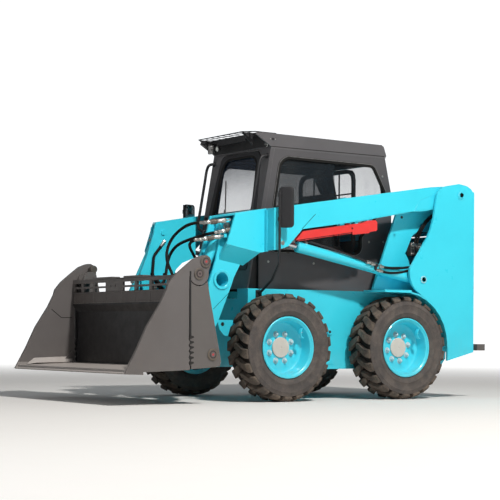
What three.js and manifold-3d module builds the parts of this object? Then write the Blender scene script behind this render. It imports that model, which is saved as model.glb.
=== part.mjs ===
// Skid steer loader with a clamshell (two-piece) bucket.
// Millimetres, +Z up, +X forward, +Y to the machine's left.
// Dimensions below are written from the rear axle line (X = 0), the mid plane (Y = 0) and the ground (Z = 0);
// the finished group is moved along X so that its origin is the bottom centre of the whole machine.
import * as THREE from 'three';
import { mergeVertices } from 'three/addons/utils/BufferGeometryUtils.js';
import Module from 'manifold-3d';

const wasm = await Module();
wasm.setup();

// ---------- driving dimensions ----------
const X_OFFSET = -821;            // rear axle to bounding box centre
const WHEELBASE = 1080;
const AXLE_Z = 386.5;
const TYRE_R = 386.5;
const TYRE_W = 264;
const TRACK_Y = 628.6;            // tyre centre plane
const RIM_FLANGE_R = 222;
const RIM_W = 230;
const RIM_RECESS = 108;           // disc face behind the outer flange

const CHASSIS_Y = 470;            // outer face of the chain cases
const CHASSIS_TOP = 810;
const CHASSIS_BOTTOM = 225;

const UP_OUT = 735;               // upright outer plate, outer face
const UP_IN = 560;                // upright inner plate, inner face
const PLATE = 20;

const PIVOT = [-538, 1560];       // lift arm pivot
const LIFT_BASE = [-165, 902];    // lift cylinder base pin
const LIFT_EYE = [1105, 1140];    // lift cylinder rod eye
const LIFT_Y = 655;
const TILT_BASE = [1460, 1245];   // tilt cylinder base pin
const TILT_EYE = [1761, 624];     // tilt cylinder rod eye
const TILT_Y = 439;
const BUCKET_PIN = [1675, 400];   // bucket hinge
const JAW_PIN = [1898, 885];      // jaw pivot
const JAW_EYE = [1848, 968];      // jaw cylinder rod eye
const JAW_BASE = [1788, 340];     // jaw cylinder base pin
const JAW_Y = 770;
const CROSS_TUBE = [1493, 865];

const BEAM_IN = 610;              // lift arm beam, inner and outer faces
const BEAM_OUT = 700;
const KNEE_OUT = 584;             // knee panel outer face
const ARM_IN = 378;               // arm inner plate, inner face
const LEG_OUT = 500;              // leg outer plate, outer face

const CAB_Y = 390;
const CAB_WALL = 28;
const BUCKET_Y = 850;
const SIDE_PLATE = 24;

// ---------- helpers ----------
function solid(geo) {
  geo.deleteAttribute('normal');
  geo.deleteAttribute('uv');
  const g = mergeVertices(geo, 1e-4);
  const m = new wasm.Mesh({
    numProp: 3,
    vertProperties: new Float32Array(g.attributes.position.array),
    triVerts: new Uint32Array(g.index.array),
  });
  return new wasm.Manifold(m);
}
function add(list) {
  let r = list[0];
  for (let i = 1; i < list.length; i++) r = r.add(list[i]);
  return r;
}
function cut(a, list) {
  for (const b of list) a = a.subtract(b);
  return a;
}
function moved(geo, x, y, z) { geo.translate(x, y, z); return geo; }

function shapeOf(pts, holes = []) {
  const s = new THREE.Shape(pts.map((p) => new THREE.Vector2(p[0], p[1])));
  for (const h of holes) s.holes.push(new THREE.Path(h.map((p) => new THREE.Vector2(p[0], p[1]))));
  return s;
}
// outline in X,Z pushed along Y from y0 to y1
function plateY(pts, y0, y1, holes = []) {
  const a = Math.min(y0, y1), b = Math.max(y0, y1);
  const g = new THREE.ExtrudeGeometry(shapeOf(pts, holes), { depth: b - a, bevelEnabled: false, curveSegments: 8 });
  g.rotateX(Math.PI / 2);           // (x, y, z) -> (x, -z, y)
  return solid(moved(g, 0, b, 0));
}
// outline in Y,Z pushed along X from x0 to x1
function plateX(pts, x0, x1, holes = []) {
  const g = new THREE.ExtrudeGeometry(shapeOf(pts, holes), { depth: x1 - x0, bevelEnabled: false, curveSegments: 8 });
  g.rotateX(Math.PI / 2);
  g.rotateZ(Math.PI / 2);
  return solid(moved(g, x0, 0, 0));
}
// outline in X,Y pushed along Z from z0 to z1
function plateZ(pts, z0, z1, holes = []) {
  const g = new THREE.ExtrudeGeometry(shapeOf(pts, holes), { depth: z1 - z0, bevelEnabled: false, curveSegments: 8 });
  return solid(moved(g, 0, 0, z0));
}
function box(x0, x1, y0, y1, z0, z1) {
  const a = Math.min(y0, y1), b = Math.max(y0, y1);
  const g = new THREE.BoxGeometry(x1 - x0, b - a, z1 - z0);
  return solid(moved(g, (x0 + x1) / 2, (a + b) / 2, (z0 + z1) / 2));
}
// cylinder along Y
function cylY(x, z, r, y0, y1, seg = 14) {
  const a = Math.min(y0, y1), b = Math.max(y0, y1);
  const g = new THREE.CylinderGeometry(r, r, b - a, seg);
  return solid(moved(g, x, (a + b) / 2, z));
}
// cylinder between two points
function bar(p, q, r, seg = 8) {
  const a = new THREE.Vector3(...p), b = new THREE.Vector3(...q);
  const d = b.clone().sub(a);
  const g = new THREE.CylinderGeometry(r, r, d.length(), seg);
  g.applyQuaternion(new THREE.Quaternion().setFromUnitVectors(new THREE.Vector3(0, 1, 0), d.clone().normalize()));
  const c = a.add(b).multiplyScalar(0.5);
  return solid(moved(g, c.x, c.y, c.z));
}
function ball(p, r, seg = 8) {
  const g = new THREE.SphereGeometry(r, seg, Math.max(4, seg / 2));
  return solid(moved(g, p[0], p[1], p[2]));
}
// bent rod through points
function rod(points, r, seg = 8) {
  const parts = [];
  for (let i = 0; i + 1 < points.length; i++) {
    parts.push(bar(points[i], points[i + 1], r, seg));
    if (i > 0) parts.push(ball(points[i], r * 1.09, seg));
  }
  return add(parts);
}
// turned solid about an axis through p in the X,Z plane at height y; profile is [radius, distance along axis]
function turned(profile, p, angle, y, seg = 14) {
  const g = new THREE.LatheGeometry(profile.map((q) => new THREE.Vector2(q[0], q[1])), seg);
  // lathe axis +Y -> direction (cos, 0, sin)
  const dir = new THREE.Vector3(Math.cos(angle), 0, Math.sin(angle));
  g.applyQuaternion(new THREE.Quaternion().setFromUnitVectors(new THREE.Vector3(0, 1, 0), dir));
  return solid(moved(g, p[0], y, p[1]));
}
// turned solid about a Y axis line through x,z; profile is [radius, y]
function turnedY(profile, x, z, s, seg = 32) {
  const pts = profile.map((q) => new THREE.Vector2(q[0], q[1]));
  const g = new THREE.LatheGeometry(pts, seg);
  if (s < 0) g.rotateX(Math.PI);
  return solid(moved(g, x, 0, z));
}
function arc(cx, cz, r, a0, a1, n) {
  const o = [];
  for (let i = 0; i <= n; i++) {
    const a = ((a0 + ((a1 - a0) * i) / n) * Math.PI) / 180;
    o.push([cx + r * Math.cos(a), cz + r * Math.sin(a)]);
  }
  return o;
}
function circle(cx, cz, r, n = 24) { return arc(cx, cz, r, 0, 360 - 360 / n, n - 1); }
// outline with its corners rounded by radius r (or one radius per corner)
function rounded(pts, r, n = 4) {
  const o = [];
  const m = pts.length;
  for (let i = 0; i < m; i++) {
    const rr = Array.isArray(r) ? r[i] : r;
    const p = new THREE.Vector2(...pts[i]);
    const a = new THREE.Vector2(...pts[(i + m - 1) % m]).sub(p).normalize();
    const b = new THREE.Vector2(...pts[(i + 1) % m]).sub(p).normalize();
    if (rr <= 0) { o.push([p.x, p.y]); continue; }
    const half = Math.acos(THREE.MathUtils.clamp(a.dot(b), -1, 1)) / 2;
    const t = rr / Math.tan(half);
    const p0 = p.clone().addScaledVector(a, t), p1 = p.clone().addScaledVector(b, t);
    for (let k = 0; k <= n; k++) {
      const u = k / n;
      const q = p0.clone().multiplyScalar((1 - u) * (1 - u)).addScaledVector(p, 2 * u * (1 - u)).addScaledVector(p1, u * u);
      o.push([q.x, q.y]);
    }
  }
  return o;
}
const dir = (a, b) => Math.atan2(b[1] - a[1], b[0] - a[0]);

// ---------- materials ----------
const mat = (color, roughness, metalness, extra = {}) => new THREE.MeshStandardMaterial({ color, roughness, metalness, ...extra });
const CYAN = () => mat(0x35d6e8, 0.42, 0.0);
const CHARCOAL = () => mat(0x59544f, 0.55, 0.0);
const BLACK = () => mat(0x1b1b1d, 0.6, 0.0);
const RUBBER = () => mat(0x4a423a, 0.9, 0.0);
const RED = () => mat(0xf03028, 0.45, 0.0);
const CHROME = () => mat(0xcfd2d6, 0.15, 1.0);
const GLASS = () => mat(0x9fb4b8, 0.05, 0.0, { transparent: true, opacity: 0.35 });
const SEAT = () => mat(0x222226, 0.8, 0.0);
const IRON = () => mat(0x3a3a3c, 0.6, 0.4);
const HOSE = () => mat(0x141416, 0.7, 0.0);

const group = new THREE.Group();
const root = new THREE.Group();
group.add(root);
function part(name, m, material) {
  const r = m.getMesh();
  const g = new THREE.BufferGeometry();
  g.setAttribute('position', new THREE.BufferAttribute(new Float32Array(r.vertProperties), 3));
  g.setIndex(new THREE.BufferAttribute(new Uint32Array(r.triVerts), 1));
  g.computeVertexNormals();
  const mesh = new THREE.Mesh(g, material);
  mesh.name = name;
  mesh.position.set(X_OFFSET, 0, 0);
  root.add(mesh);
  return mesh;
}

// ---------- chassis ----------
const WHEELS = [['front', WHEELBASE], ['rear', 0]];
const SIDES = [['left', 1], ['right', -1]];
{
  const b = [];
  for (const [, s] of SIDES) {
    // chain case and side rail
    b.push(plateY([[-620, 300], [-560, CHASSIS_BOTTOM], [1190, CHASSIS_BOTTOM], [1250, 300], [1250, CHASSIS_TOP], [-620, CHASSIS_TOP]], s * 330, s * CHASSIS_Y));
    for (const [, x] of WHEELS) b.push(cylY(x, AXLE_Z, 62, s * (CHASSIS_Y - 5), s * 575));
  }
  b.push(box(-600, 1240, -335, 335, CHASSIS_BOTTOM + 15, CHASSIS_BOTTOM + 35));     // belly plate
  b.push(box(1228, 1249, -335, 335, CHASSIS_BOTTOM + 20, 740));                      // front plate
  b.push(box(1100, 1245, -335, 335, 720, 740));                                      // step tread
  b.push(box(-140, -120, -335, 335, CHASSIS_BOTTOM + 30, CHASSIS_TOP));              // bulkhead behind the seat
  // tie-down eyes under the front plate
  for (const [, s] of SIDES) {
    b.push(plateY([[1240, 520], [1300, 520], [1318, 545], [1318, 585], [1300, 610], [1240, 610]], s * 400, s * 418, [circle(1285, 565, 18, 16)]));
  }
  part('chassis_frame', add(b), CYAN());
}

// ---------- uprights with fenders ----------
const ARCH_R = 412;
for (const [side, s] of SIDES) {
  const arch = arc(0, AXLE_Z, ARCH_R, 181, 119, 5);
  const outer = [
    [-672, 352], [-412, 287], ...arch, [-146, 786], [-90, 826], [-59, 860], [-40, 905], [-33, 957],
    [-39, 986], [-101, 1074], [-205, 1222], [-235, 1282], [-264, 1369], [-286, 1489],
    [-300, 1560], [-350, 1612], [-388, 1622], [-517, 1646], [-596, 1634], [-640, 1612], [-672, 1575],
  ];
  const inner = [
    [-660, 352], [-414, 352], ...arch, [-146, 800], [198, 800], [198, 819], [9, 1308], [-78, 1535], [-300, 1575], [-390, 1612], [-517, 1636], [-596, 1624], [-660, 1570],
  ];
  const hole = [[-268, 1342], [-246, 1285], [-182, 1239], [-115, 1104], [-146, 1059], [-170, 990], [-480, 990], [-480, 1342]];
  const b = [];
  b.push(plateY(outer, s * (UP_OUT - PLATE), s * UP_OUT));
  b.push(plateY(inner, s * UP_IN, s * (UP_IN + PLATE), [hole]));
  // rear post, closing the channel
  b.push(box(-672, -652, s * 500, s * UP_OUT, 352, 1590));
  b.push(box(-672, -560, s * 482, s * 502, 352, 1260));
  // fender shelf and wheel arch strip
  b.push(box(-60, 198, s * (CHASSIS_Y + 0.4), s * (UP_OUT - 5), 800, 819));
  const strip = [...arc(0, AXLE_Z, ARCH_R, 97, 178, 7), ...arc(0, AXLE_Z, ARCH_R + 12, 178, 97, 7)];
  b.push(plateY(strip, s * (CHASSIS_Y + 0.4), s * (UP_OUT - 2)));
  // pins across the channel and their heads
  for (const [p, r] of [[PIVOT, 27], [LIFT_BASE, 22]]) {
    b.push(cylY(p[0], p[1], r, s * (UP_IN + 5), s * (UP_OUT + 9)));
    b.push(cylY(p[0], p[1], r + 12, s * (UP_OUT - 5), s * (UP_OUT + 4)));
    b.push(cylY(p[0], p[1], r + 13, s * (UP_IN + 15), s * (UP_IN + 26)));
  }
  // tail light housing on the rear post
  b.push(box(-690, -668, s * 655, s * 715, 1378, 1450));
  part(`${side}_upright`, add(b), CYAN());
}

// ---------- rear bumper, engine, covers ----------
{
  const b = [box(-825, -745, -700, 700, 365, 415)];
  for (const [, s] of SIDES) b.push(box(-760, -672.4, s * 530, s * 620, 372, 408));
  part('rear_bumper', add(b), CHARCOAL());
}
part('engine_block', box(-540, -190, -240, 240, 270, 1010), IRON());
{
  // louvred rear door between the posts
  const b = [box(-700, -676, -476, 476, 432, 1272)];
  b.push(box(-716, -696, -360, 360, 560, 600));
  part('rear_door', add(b), CYAN());
}
{
  // hood over the engine
  let h = add([
    plateY([[-640, 1281], [-640, 1334], [-622, 1352], [-156, 1352], [-156, 1281]], -545, 545),
    box(-698, -640, -476, 476, 1281, 1318),
  ]);
  h = cut(h, [box(-622, -174, -527, 527, 1270, 1334), box(-682, -600, -458, 458, 1270, 1302)]);
  part('engine_hood', h, CYAN());
}

// ---------- cab ----------
const cabX = (z) => 1001 + (1858 - z) * 0.1817;   // sloping front plane
const cabSide = [[cabX(811), 811], [cabX(1858), 1858], [-60, 1858], [-130, 1560], [-130, 811]];
const sideWindow = rounded([[915, 1786], [50, 1776], [-62, 1585], [-62, 1470], [165, 1225], [165, 1092], [1030, 1092]], [95, 70, 30, 60, 40, 70, 60], 3);
const rearWindow = rounded([[-300, 1230], [300, 1230], [300, 1800], [-300, 1800]], 60, 3);
{
  const t = CAB_WALL;
  const inner = [[cabX(780) - t, 780], [cabX(1900) - t, 1900], [-60 + t + 6, 1900], [-130 + t, 1560], [-130 + t, 780]];
  let c = plateY(cabSide, -CAB_Y, CAB_Y).subtract(plateY(inner, -(CAB_Y - t), CAB_Y - t));
  // header beams and the seat deck
  c = add([c,
    box(-55, 1000, -CAB_Y + 5, -CAB_Y + t + 30, 1815, 1858),
    box(-55, 1000, CAB_Y - t - 30, CAB_Y - 5, 1815, 1858),
    box(-115, 640, -CAB_Y + 5, CAB_Y - 5, 811, 831),
    box(620, 640, -320, 320, 760, 820),
  ]);
  // side and rear windows, front doorway
  const door = rounded([[-328, 948], [328, 948], [328, 1400], [272, 1846], [-272, 1846], [-328, 1400]], [20, 20, 0, 90, 90, 0], 3);
  c = cut(c, [
    plateY(sideWindow, CAB_Y + 20, CAB_Y - t - 40),
    plateY(sideWindow, -CAB_Y - 20, -CAB_Y + t + 40),
    plateX(rearWindow, -200, -20),
    plateX(door, 930, 1300),
  ]);
  // lower front corners narrowed to clear the lift arms when these are fully down
  for (const [, s] of SIDES) {
    c = c.add(plateY([[1096, 812], [1178, 812], [1128, 1122], [1096, 1122]], s * 338, s * 366));
    c = c.subtract(box(1104, 1260, s * 369, s * 400, 800, 1132));
  }
  part('cab_frame', c, CHARCOAL());
}
{
  // roof cap, hollow below
  const roof = [[-79, 1858.4], [1001, 1858.4], [1084, 1908], [1130, 1936], [1125, 1950], [1080, 1955], [-30, 1943], [-52, 1930]];
  let r = plateY(roof, -CAB_Y, CAB_Y);
  r = r.subtract(plateY([[-30, 1850], [960, 1850], [960, 1930], [-20, 1920]], -CAB_Y + 40, CAB_Y - 40));
  // open underneath in front of the header: two cheeks carry the visor
  r = r.subtract(plateY([[1004, 1840], [1150, 1840], [1150, 1970], [1004, 1970]], -CAB_Y + 14, CAB_Y - 14));
  part('cab_roof', r, CHARCOAL());
  // sun visor at the front of the roof, black perforated plate with end gussets
  const v = [plateZ([[940, -368], [1128, -372], [1200, -304], [1200, 304], [1128, 372], [940, 368]], 1955.4, 1962)];
  for (const [, s] of SIDES) v.push(plateY([[1100, 1862], [1196, 1952], [1196, 1958], [1100, 1958]], s * 290, s * 296));
  v.push(plateY([[1086, 1930], [1094, 1930], [1094, 1957], [1086, 1957]], -340, 340));
  part('roof_visor', add(v), BLACK());
}
// front door: sloping frame, glass
const DOOR_GAP = 6;
const doorOuter = rounded([[-322, 954], [322, 954], [322, 1398], [267, 1840], [-267, 1840], [-322, 1398]], [16, 16, 0, 86, 86, 0], 3);
const doorGlass = rounded([[-268, 1060], [268, 1060], [268, 1400], [232, 1806], [-232, 1806], [-268, 1400]], [40, 40, 0, 100, 100, 0], 3);
function slopeBand(z0, z1, a, b) {      // band parallel to the front plane, from a to b in front of it
  return plateY([[cabX(z0) + a, z0], [cabX(z0) + b, z0], [cabX(z1) + b, z1], [cabX(z1) + a, z1]], -400, 400);
}
{
  let d = slopeBand(900, 1900, -CAB_WALL, 2).intersect(plateX(doorOuter, 900, 1300));
  d = d.subtract(plateX(doorGlass, 900, 1300));
  part('front_door', d, BLACK());
  const glassIn = doorGlass.map(([y, z]) => [y * 0.9985, 1433 + (z - 1433) * 0.9985]);
  part('front_door_glass', slopeBand(900, 1900, -16, -10).intersect(plateX(glassIn, 900, 1300)), GLASS());
}
{
  const c = [480, 1440];
  const inset = sideWindow.map(([x, z]) => [c[0] + (x - c[0]) * 0.9982, c[1] + (z - c[1]) * 0.9982]);
  part('left_window_glass', plateY(inset, CAB_Y - 14, CAB_Y - 8), GLASS());
  part('right_window_glass', plateY(inset, -CAB_Y + 14, -CAB_Y + 8), GLASS());
  // rear glass follows the leaning rear wall
  const rw = rearWindow.map(([y, z]) => [y * 0.9982, 1515 + (z - 1515) * 0.9982]);
  const band = plateY([[-118, 1200], [-112, 1200], [-112, 1560], [-42, 1858], [-48, 1858], [-118, 1560]], -400, 400);
  part('rear_window_glass', band.intersect(plateX(rw, -200, 0)), GLASS());
}
{
  // guard screen behind the seat
  const o = rounded([[-361, 1040], [361, 1040], [361, 1748], [-361, 1748]], 90, 3);
  const i = rounded([[-331, 1070], [331, 1070], [331, 1718], [-331, 1718]], 66, 3);
  const b = [plateX(o, 196, 216, [i])];
  for (const y of [-165, 0, 165]) b.push(box(202, 210, y - 5, y + 5, 1060, 1728));
  for (const z of [1560]) b.push(box(202, 210, -340, 340, z - 5, z + 5));
  part('rear_screen', add(b), BLACK());
}
// seat
{
  const b = [box(330, 700, -200, 200, 831.4, 1010)];
  for (const [, s] of SIDES) {
    b.push(box(380, 690, s * 195, s * 345, 831.4, 900));
    b.push(box(300, 700, s * 270, s * 345, 895, 1130));
    b.push(rod([[650, s * 308, 1120], [664, s * 300, 1230], [660, s * 300, 1290]], 13, 8));
    b.push(ball([660, s * 300, 1296], 24, 10));
  }
  part('seat_base', add(b), BLACK());
  part('seat_cushion', plateY(rounded([[292, 1010.5], [742, 1010.5], [752, 1105], [292, 1090]], [20, 20, 40, 20], 4), -232, 232), SEAT());
  part('seat_back', plateY(rounded([[300, 1100], [388, 1100], [330, 1590], [245, 1590]], [14, 14, 34, 34], 4), -228, 228), SEAT());
}
// mirrors on bent stalks, grab handles
// the right one leans back and its head is folded in line with the machine
for (const [side, s] of SIDES) {
  const top = s > 0 ? 1160 : 1060;
  const head = s > 0 ? [[1166, 728], [1092, 809], [1073, 791], [1147, 712]] : [[1068, 744], [952, 778], [945, 756], [1060, 721]];
  const b = [
    rod([[1160, s * 478.5, 780], [1160, s * 510, 790], [1160, s * 642, 868], [1160, s * 735, 985], [top, s * 735, s > 0 ? 1200 : 1180], [top, s * 735, 1500]], 10, 8),
    box(1135, 1185, s * 470.4, s * 480, 745, 800),
    plateZ(head.map(([x, y]) => [x, s * y]), s > 0 ? 1235 : 1215, s > 0 ? 1526 : 1506),
  ];
  part(`${side}_mirror`, add(b), BLACK());
}
for (const [side, s] of SIDES) {
  // grab handle: tube in front of the cab corner pillar
  const h = rod([[cabX(1790) + 1.5, s * 362, 1790], [cabX(1770) + 62, s * 362, 1762], [cabX(1300) + 62, s * 362, 1300], [cabX(1250) + 1.5, s * 362, 1268]], 11, 8);
  const clear = slopeBand(1100, 1900, -80, 0.5);
  part(`${side}_grab_handle`, h.subtract(clear), BLACK());
}

// ---------- lift arms ----------
for (const [side, s] of SIDES) {
  const b = [];
  // main box beam from the pivot to the knee
  const beam = [
    ...arc(PIVOT[0], PIVOT[1], 70, 270, 95, 6), [-400, 1622], [-255, 1608], [1184, 1377], [1184, 1078], [1150, 1080],
    [1062, 1108], [1040, 1130], [935, 1237], [540, 1298], [40, 1388], [-90, 1413], [-247, 1433], [-400, 1464],
  ];
  b.push(plateY(beam, s * BEAM_IN, s * BEAM_OUT));
  // knee: outer panel, sloping lower facet, leg plates
  b.push(plateY([[1170, 1381], [1435, 1326], [1504, 1117], [1309, 1076], [1210, 1064], [1170, 1072]], s * (KNEE_OUT - 16), s * KNEE_OUT));
  // (slab leaning inwards to the leg, rising towards the front)
  const slab = new THREE.ExtrudeGeometry(shapeOf([[585, 1079], [499, 969], [484, 985], [570, 1095]]), { depth: 340, bevelEnabled: false });
  slab.rotateX(Math.PI / 2);
  slab.rotateZ(Math.PI / 2);
  slab.translate(1195, 0, 0);
  if (s < 0) slab.rotateZ(Math.PI).translate(2 * 1365, 0, 0);
  slab.applyMatrix4(new THREE.Matrix4().set(1, 0, 0, 0, 0, 1, 0, 0, 0.17, 0, 1, -0.17 * 1309, 0, 0, 0, 1));
  b.push(solid(slab).intersect(plateZ([[1212, s * 594], [1503, s * 594], [1519, s * 480], [1334, s * 480]], 900, 1200)));
  // leg outer plate, carried up inside the knee to the tilt cylinder pin
  const legOuter = [
    [1342, 971], [1389, 887], [1421, 803], [1434, 772], [1476, 674], [1528, 555], [1618, 400],
    ...arc(BUCKET_PIN[0], BUCKET_PIN[1], 48, 205, 380, 5),
    [1655, 540], [1600, 700], [1601, 835], [1545, 997], [1505, 1200], [1500, 1290], [1405, 1300], [1380, 1200], [1345, 1010],
  ];
  b.push(plateY(legOuter, s * (LEG_OUT - 16), s * LEG_OUT));
  const legInner = [
    [1342, 971], [1389, 887], [1421, 803], [1434, 772], [1476, 674], [1528, 555], [1618, 400],
    ...arc(BUCKET_PIN[0], BUCKET_PIN[1], 48, 205, 380, 5),
    [1655, 540], [1600, 705], [1640, 850], [1655, 930], [1600, 1060], [1546, 1222], [1526, 1320], [1172, 1381], [1172, 1066], [1210, 1052], [1290, 1020],
  ];
  b.push(plateY(legInner, s * ARM_IN, s * (ARM_IN + 16)));
  // knee top, underside and rear wall
  const top = plateZ([[1172, s * (ARM_IN + 2)], [1525, s * (ARM_IN + 2)], [1435, s * (KNEE_OUT - 2)], [1172, s * (KNEE_OUT - 2)]], 1200, 1500)
    .intersect(plateY([[1160, 1383.3 - 14], [1600, 1306 - 14], [1600, 1306], [1160, 1383.3]], s * ARM_IN, s * KNEE_OUT));
  b.push(top);
  b.push(plateY([[1176, 1068], [1212, 1055], [1293, 1023], [1343, 976], [1355, 984], [1298, 1038], [1215, 1070], [1176, 1084]], s * (ARM_IN + 2), s * (LEG_OUT - 2)));
  b.push(plateY([[1177, 1070], [1212, 1064], [1224, 1076], [1186, 1088]], s * (LEG_OUT - 4), s * (KNEE_OUT - 2)));
  b.push(box(1174, 1188, s * (ARM_IN + 3), s * (BEAM_IN + 5), 1070, 1368));
  // rear web of the leg
  b.push(plateY([[1347, 972], [1391, 890], [1423, 806], [1436, 775], [1478, 677], [1531, 556], [1543, 562], [1491, 682], [1449, 780], [1435, 811], [1403, 895], [1358, 980]], s * (ARM_IN + 2), s * (LEG_OUT - 2)));
  // tilt cylinder pin and bucket pin with their heads
  b.push(cylY(TILT_BASE[0], TILT_BASE[1], 20, s * (ARM_IN - 8), s * (LEG_OUT + 8)));
  let arm = add(b);
  arm = cut(arm, [
    cylY(PIVOT[0], PIVOT[1], 30, s * (BEAM_IN - 20), s * (BEAM_OUT + 20)),
    plateY([[1000, 1010], [1152, 1010], [1158, 1222], [1120, 1242], [960, 1242], [900, 1180]], s * 625, s * 685),
    cylY(BUCKET_PIN[0], BUCKET_PIN[1], 22, s * (ARM_IN - 20), s * (LEG_OUT + 20)),
    cylY(CROSS_TUBE[0], CROSS_TUBE[1], 56.5, s * (ARM_IN - 20), s * (LEG_OUT + 20), 24),
  ]);
  part(`${side}_lift_arm`, arm, CYAN());
}
{
  // torsion tube through both legs, open at its ends
  const prof = [[50, -506], [64, -506], [64, -500.4], [55, -500.4], [55, 500.4], [64, 500.4], [64, 506], [50, 506], [50, -506]];
  part('arm_cross_tube', turnedY(prof, CROSS_TUBE[0], CROSS_TUBE[1], 1, 24), CYAN());
}
{
  // lift arm support, pinned in storage under the left beam
  const side = [[988, 1156], [400, 1248], [385, 1234], [262, 1252], [252, 1262], [252, 1318], [268, 1332], [340, 1326], [395, 1306], [930, 1222]];
  let m = plateY(side, 612, 698);
  // open channel, facing down over the cylinder
  m = m.subtract(plateY([[1010, 1100], [200, 1200], [262, 1319], [338, 1314], [393, 1295], [924, 1211], [935, 1232], [1010, 1160]], 618.6, 691.4));
  m = m.add(box(480, 520, 650, 668, 1284, 1301.2));
  part('arm_support_bar', m, RED());
}

// ---------- cylinders ----------
function barrel(name, base, eye, y, R, len, rodR, eyeR, pinR, width) {
  const a = dir(base, eye);
  const prof = [[0, eyeR * 0.6], [R, eyeR * 0.6], [R, len], [rodR + 1.5, len], [rodR + 1.5, len - 45], [R - 6, len - 45], [R - 6, eyeR + 22], [0, eyeR + 22]];
  let m = turned(prof, base, a, y, 14);
  m = m.add(cylY(base[0], base[1], eyeR, y - width / 2, y + width / 2));
  m = m.subtract(cylY(base[0], base[1], pinR, y - width, y + width));
  part(name, m, CYAN());
}
function piston(name, base, eye, y, rodR, len, eyeR, width) {
  const a = dir(eye, base);
  const prof = [[0, eyeR * 0.6], [rodR, eyeR * 0.6], [rodR, len], [0, len]];
  let m = turned(prof, eye, a, y, 12);
  m = m.add(cylY(eye[0], eye[1], eyeR, y - width / 2, y + width / 2));
  part(name, m, CHROME());
}
for (const [side, s] of SIDES) {
  barrel(`${side}_lift_cylinder`, LIFT_BASE, LIFT_EYE, s * LIFT_Y, 39, 1140, 19, 42, 24, 56);
  piston(`${side}_lift_rod`, LIFT_BASE, LIFT_EYE, s * LIFT_Y, 19, 985, 38, 48);
  barrel(`${side}_tilt_cylinder`, TILT_BASE, TILT_EYE, s * TILT_Y, 36, 520, 18, 34, 22, 50);
  piston(`${side}_tilt_rod`, TILT_BASE, TILT_EYE, s * TILT_Y, 18, 545, 32, 28);
  barrel(`${side}_jaw_cylinder`, JAW_BASE, JAW_EYE, s * JAW_Y, 33, 430, 16, 32, 20, 44);
  piston(`${side}_jaw_rod`, JAW_BASE, JAW_EYE, s * JAW_Y, 16, 430, 28, 36);
}

// ---------- wheels ----------
const tyreProfile = () => {
  const c = TRACK_Y, h = TYRE_W / 2;
  const p = [
    [RIM_FLANGE_R + 1, -h + 16], [275, -h], [345, -h + 4], [378, -100], [TYRE_R, -58],
    [TYRE_R, 58], [378, 100], [345, h - 4], [275, h], [RIM_FLANGE_R + 1, h - 16], [RIM_FLANGE_R + 1, 102], [206, 84], [206, -84], [RIM_FLANGE_R + 1, -102],
  ];
  const q = p.map(([r, y]) => [r, c + y]);
  q.push(q[0]);
  return q;
};
const rimProfile = () => {
  const c = TRACK_Y, w = RIM_W / 2;
  const face = c + w - RIM_RECESS;
  return [
    [0, face - 24], [150, face - 18], [184, face - 50], [186, c - w], [RIM_FLANGE_R - 1, c - w], [RIM_FLANGE_R - 1, c - w + 10], [200, c - 80],
    [200, c + 80], [RIM_FLANGE_R - 1, c + w - 10], [RIM_FLANGE_R - 1, c + w], [196, c + w - 6], [178, face - 8], [150, face], [76, face], [73, face + 40], [0, face + 40],
  ];
};
for (const [end, x] of WHEELS) {
  for (const [side, s] of SIDES) {
    part(`${end}_${side}_tyre`, turnedY(tyreProfile(), x, AXLE_Z, s, 24), RUBBER());
    part(`${end}_${side}_rim`, turnedY(rimProfile(), x, AXLE_Z, s, 24), CYAN());
  }
}

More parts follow.
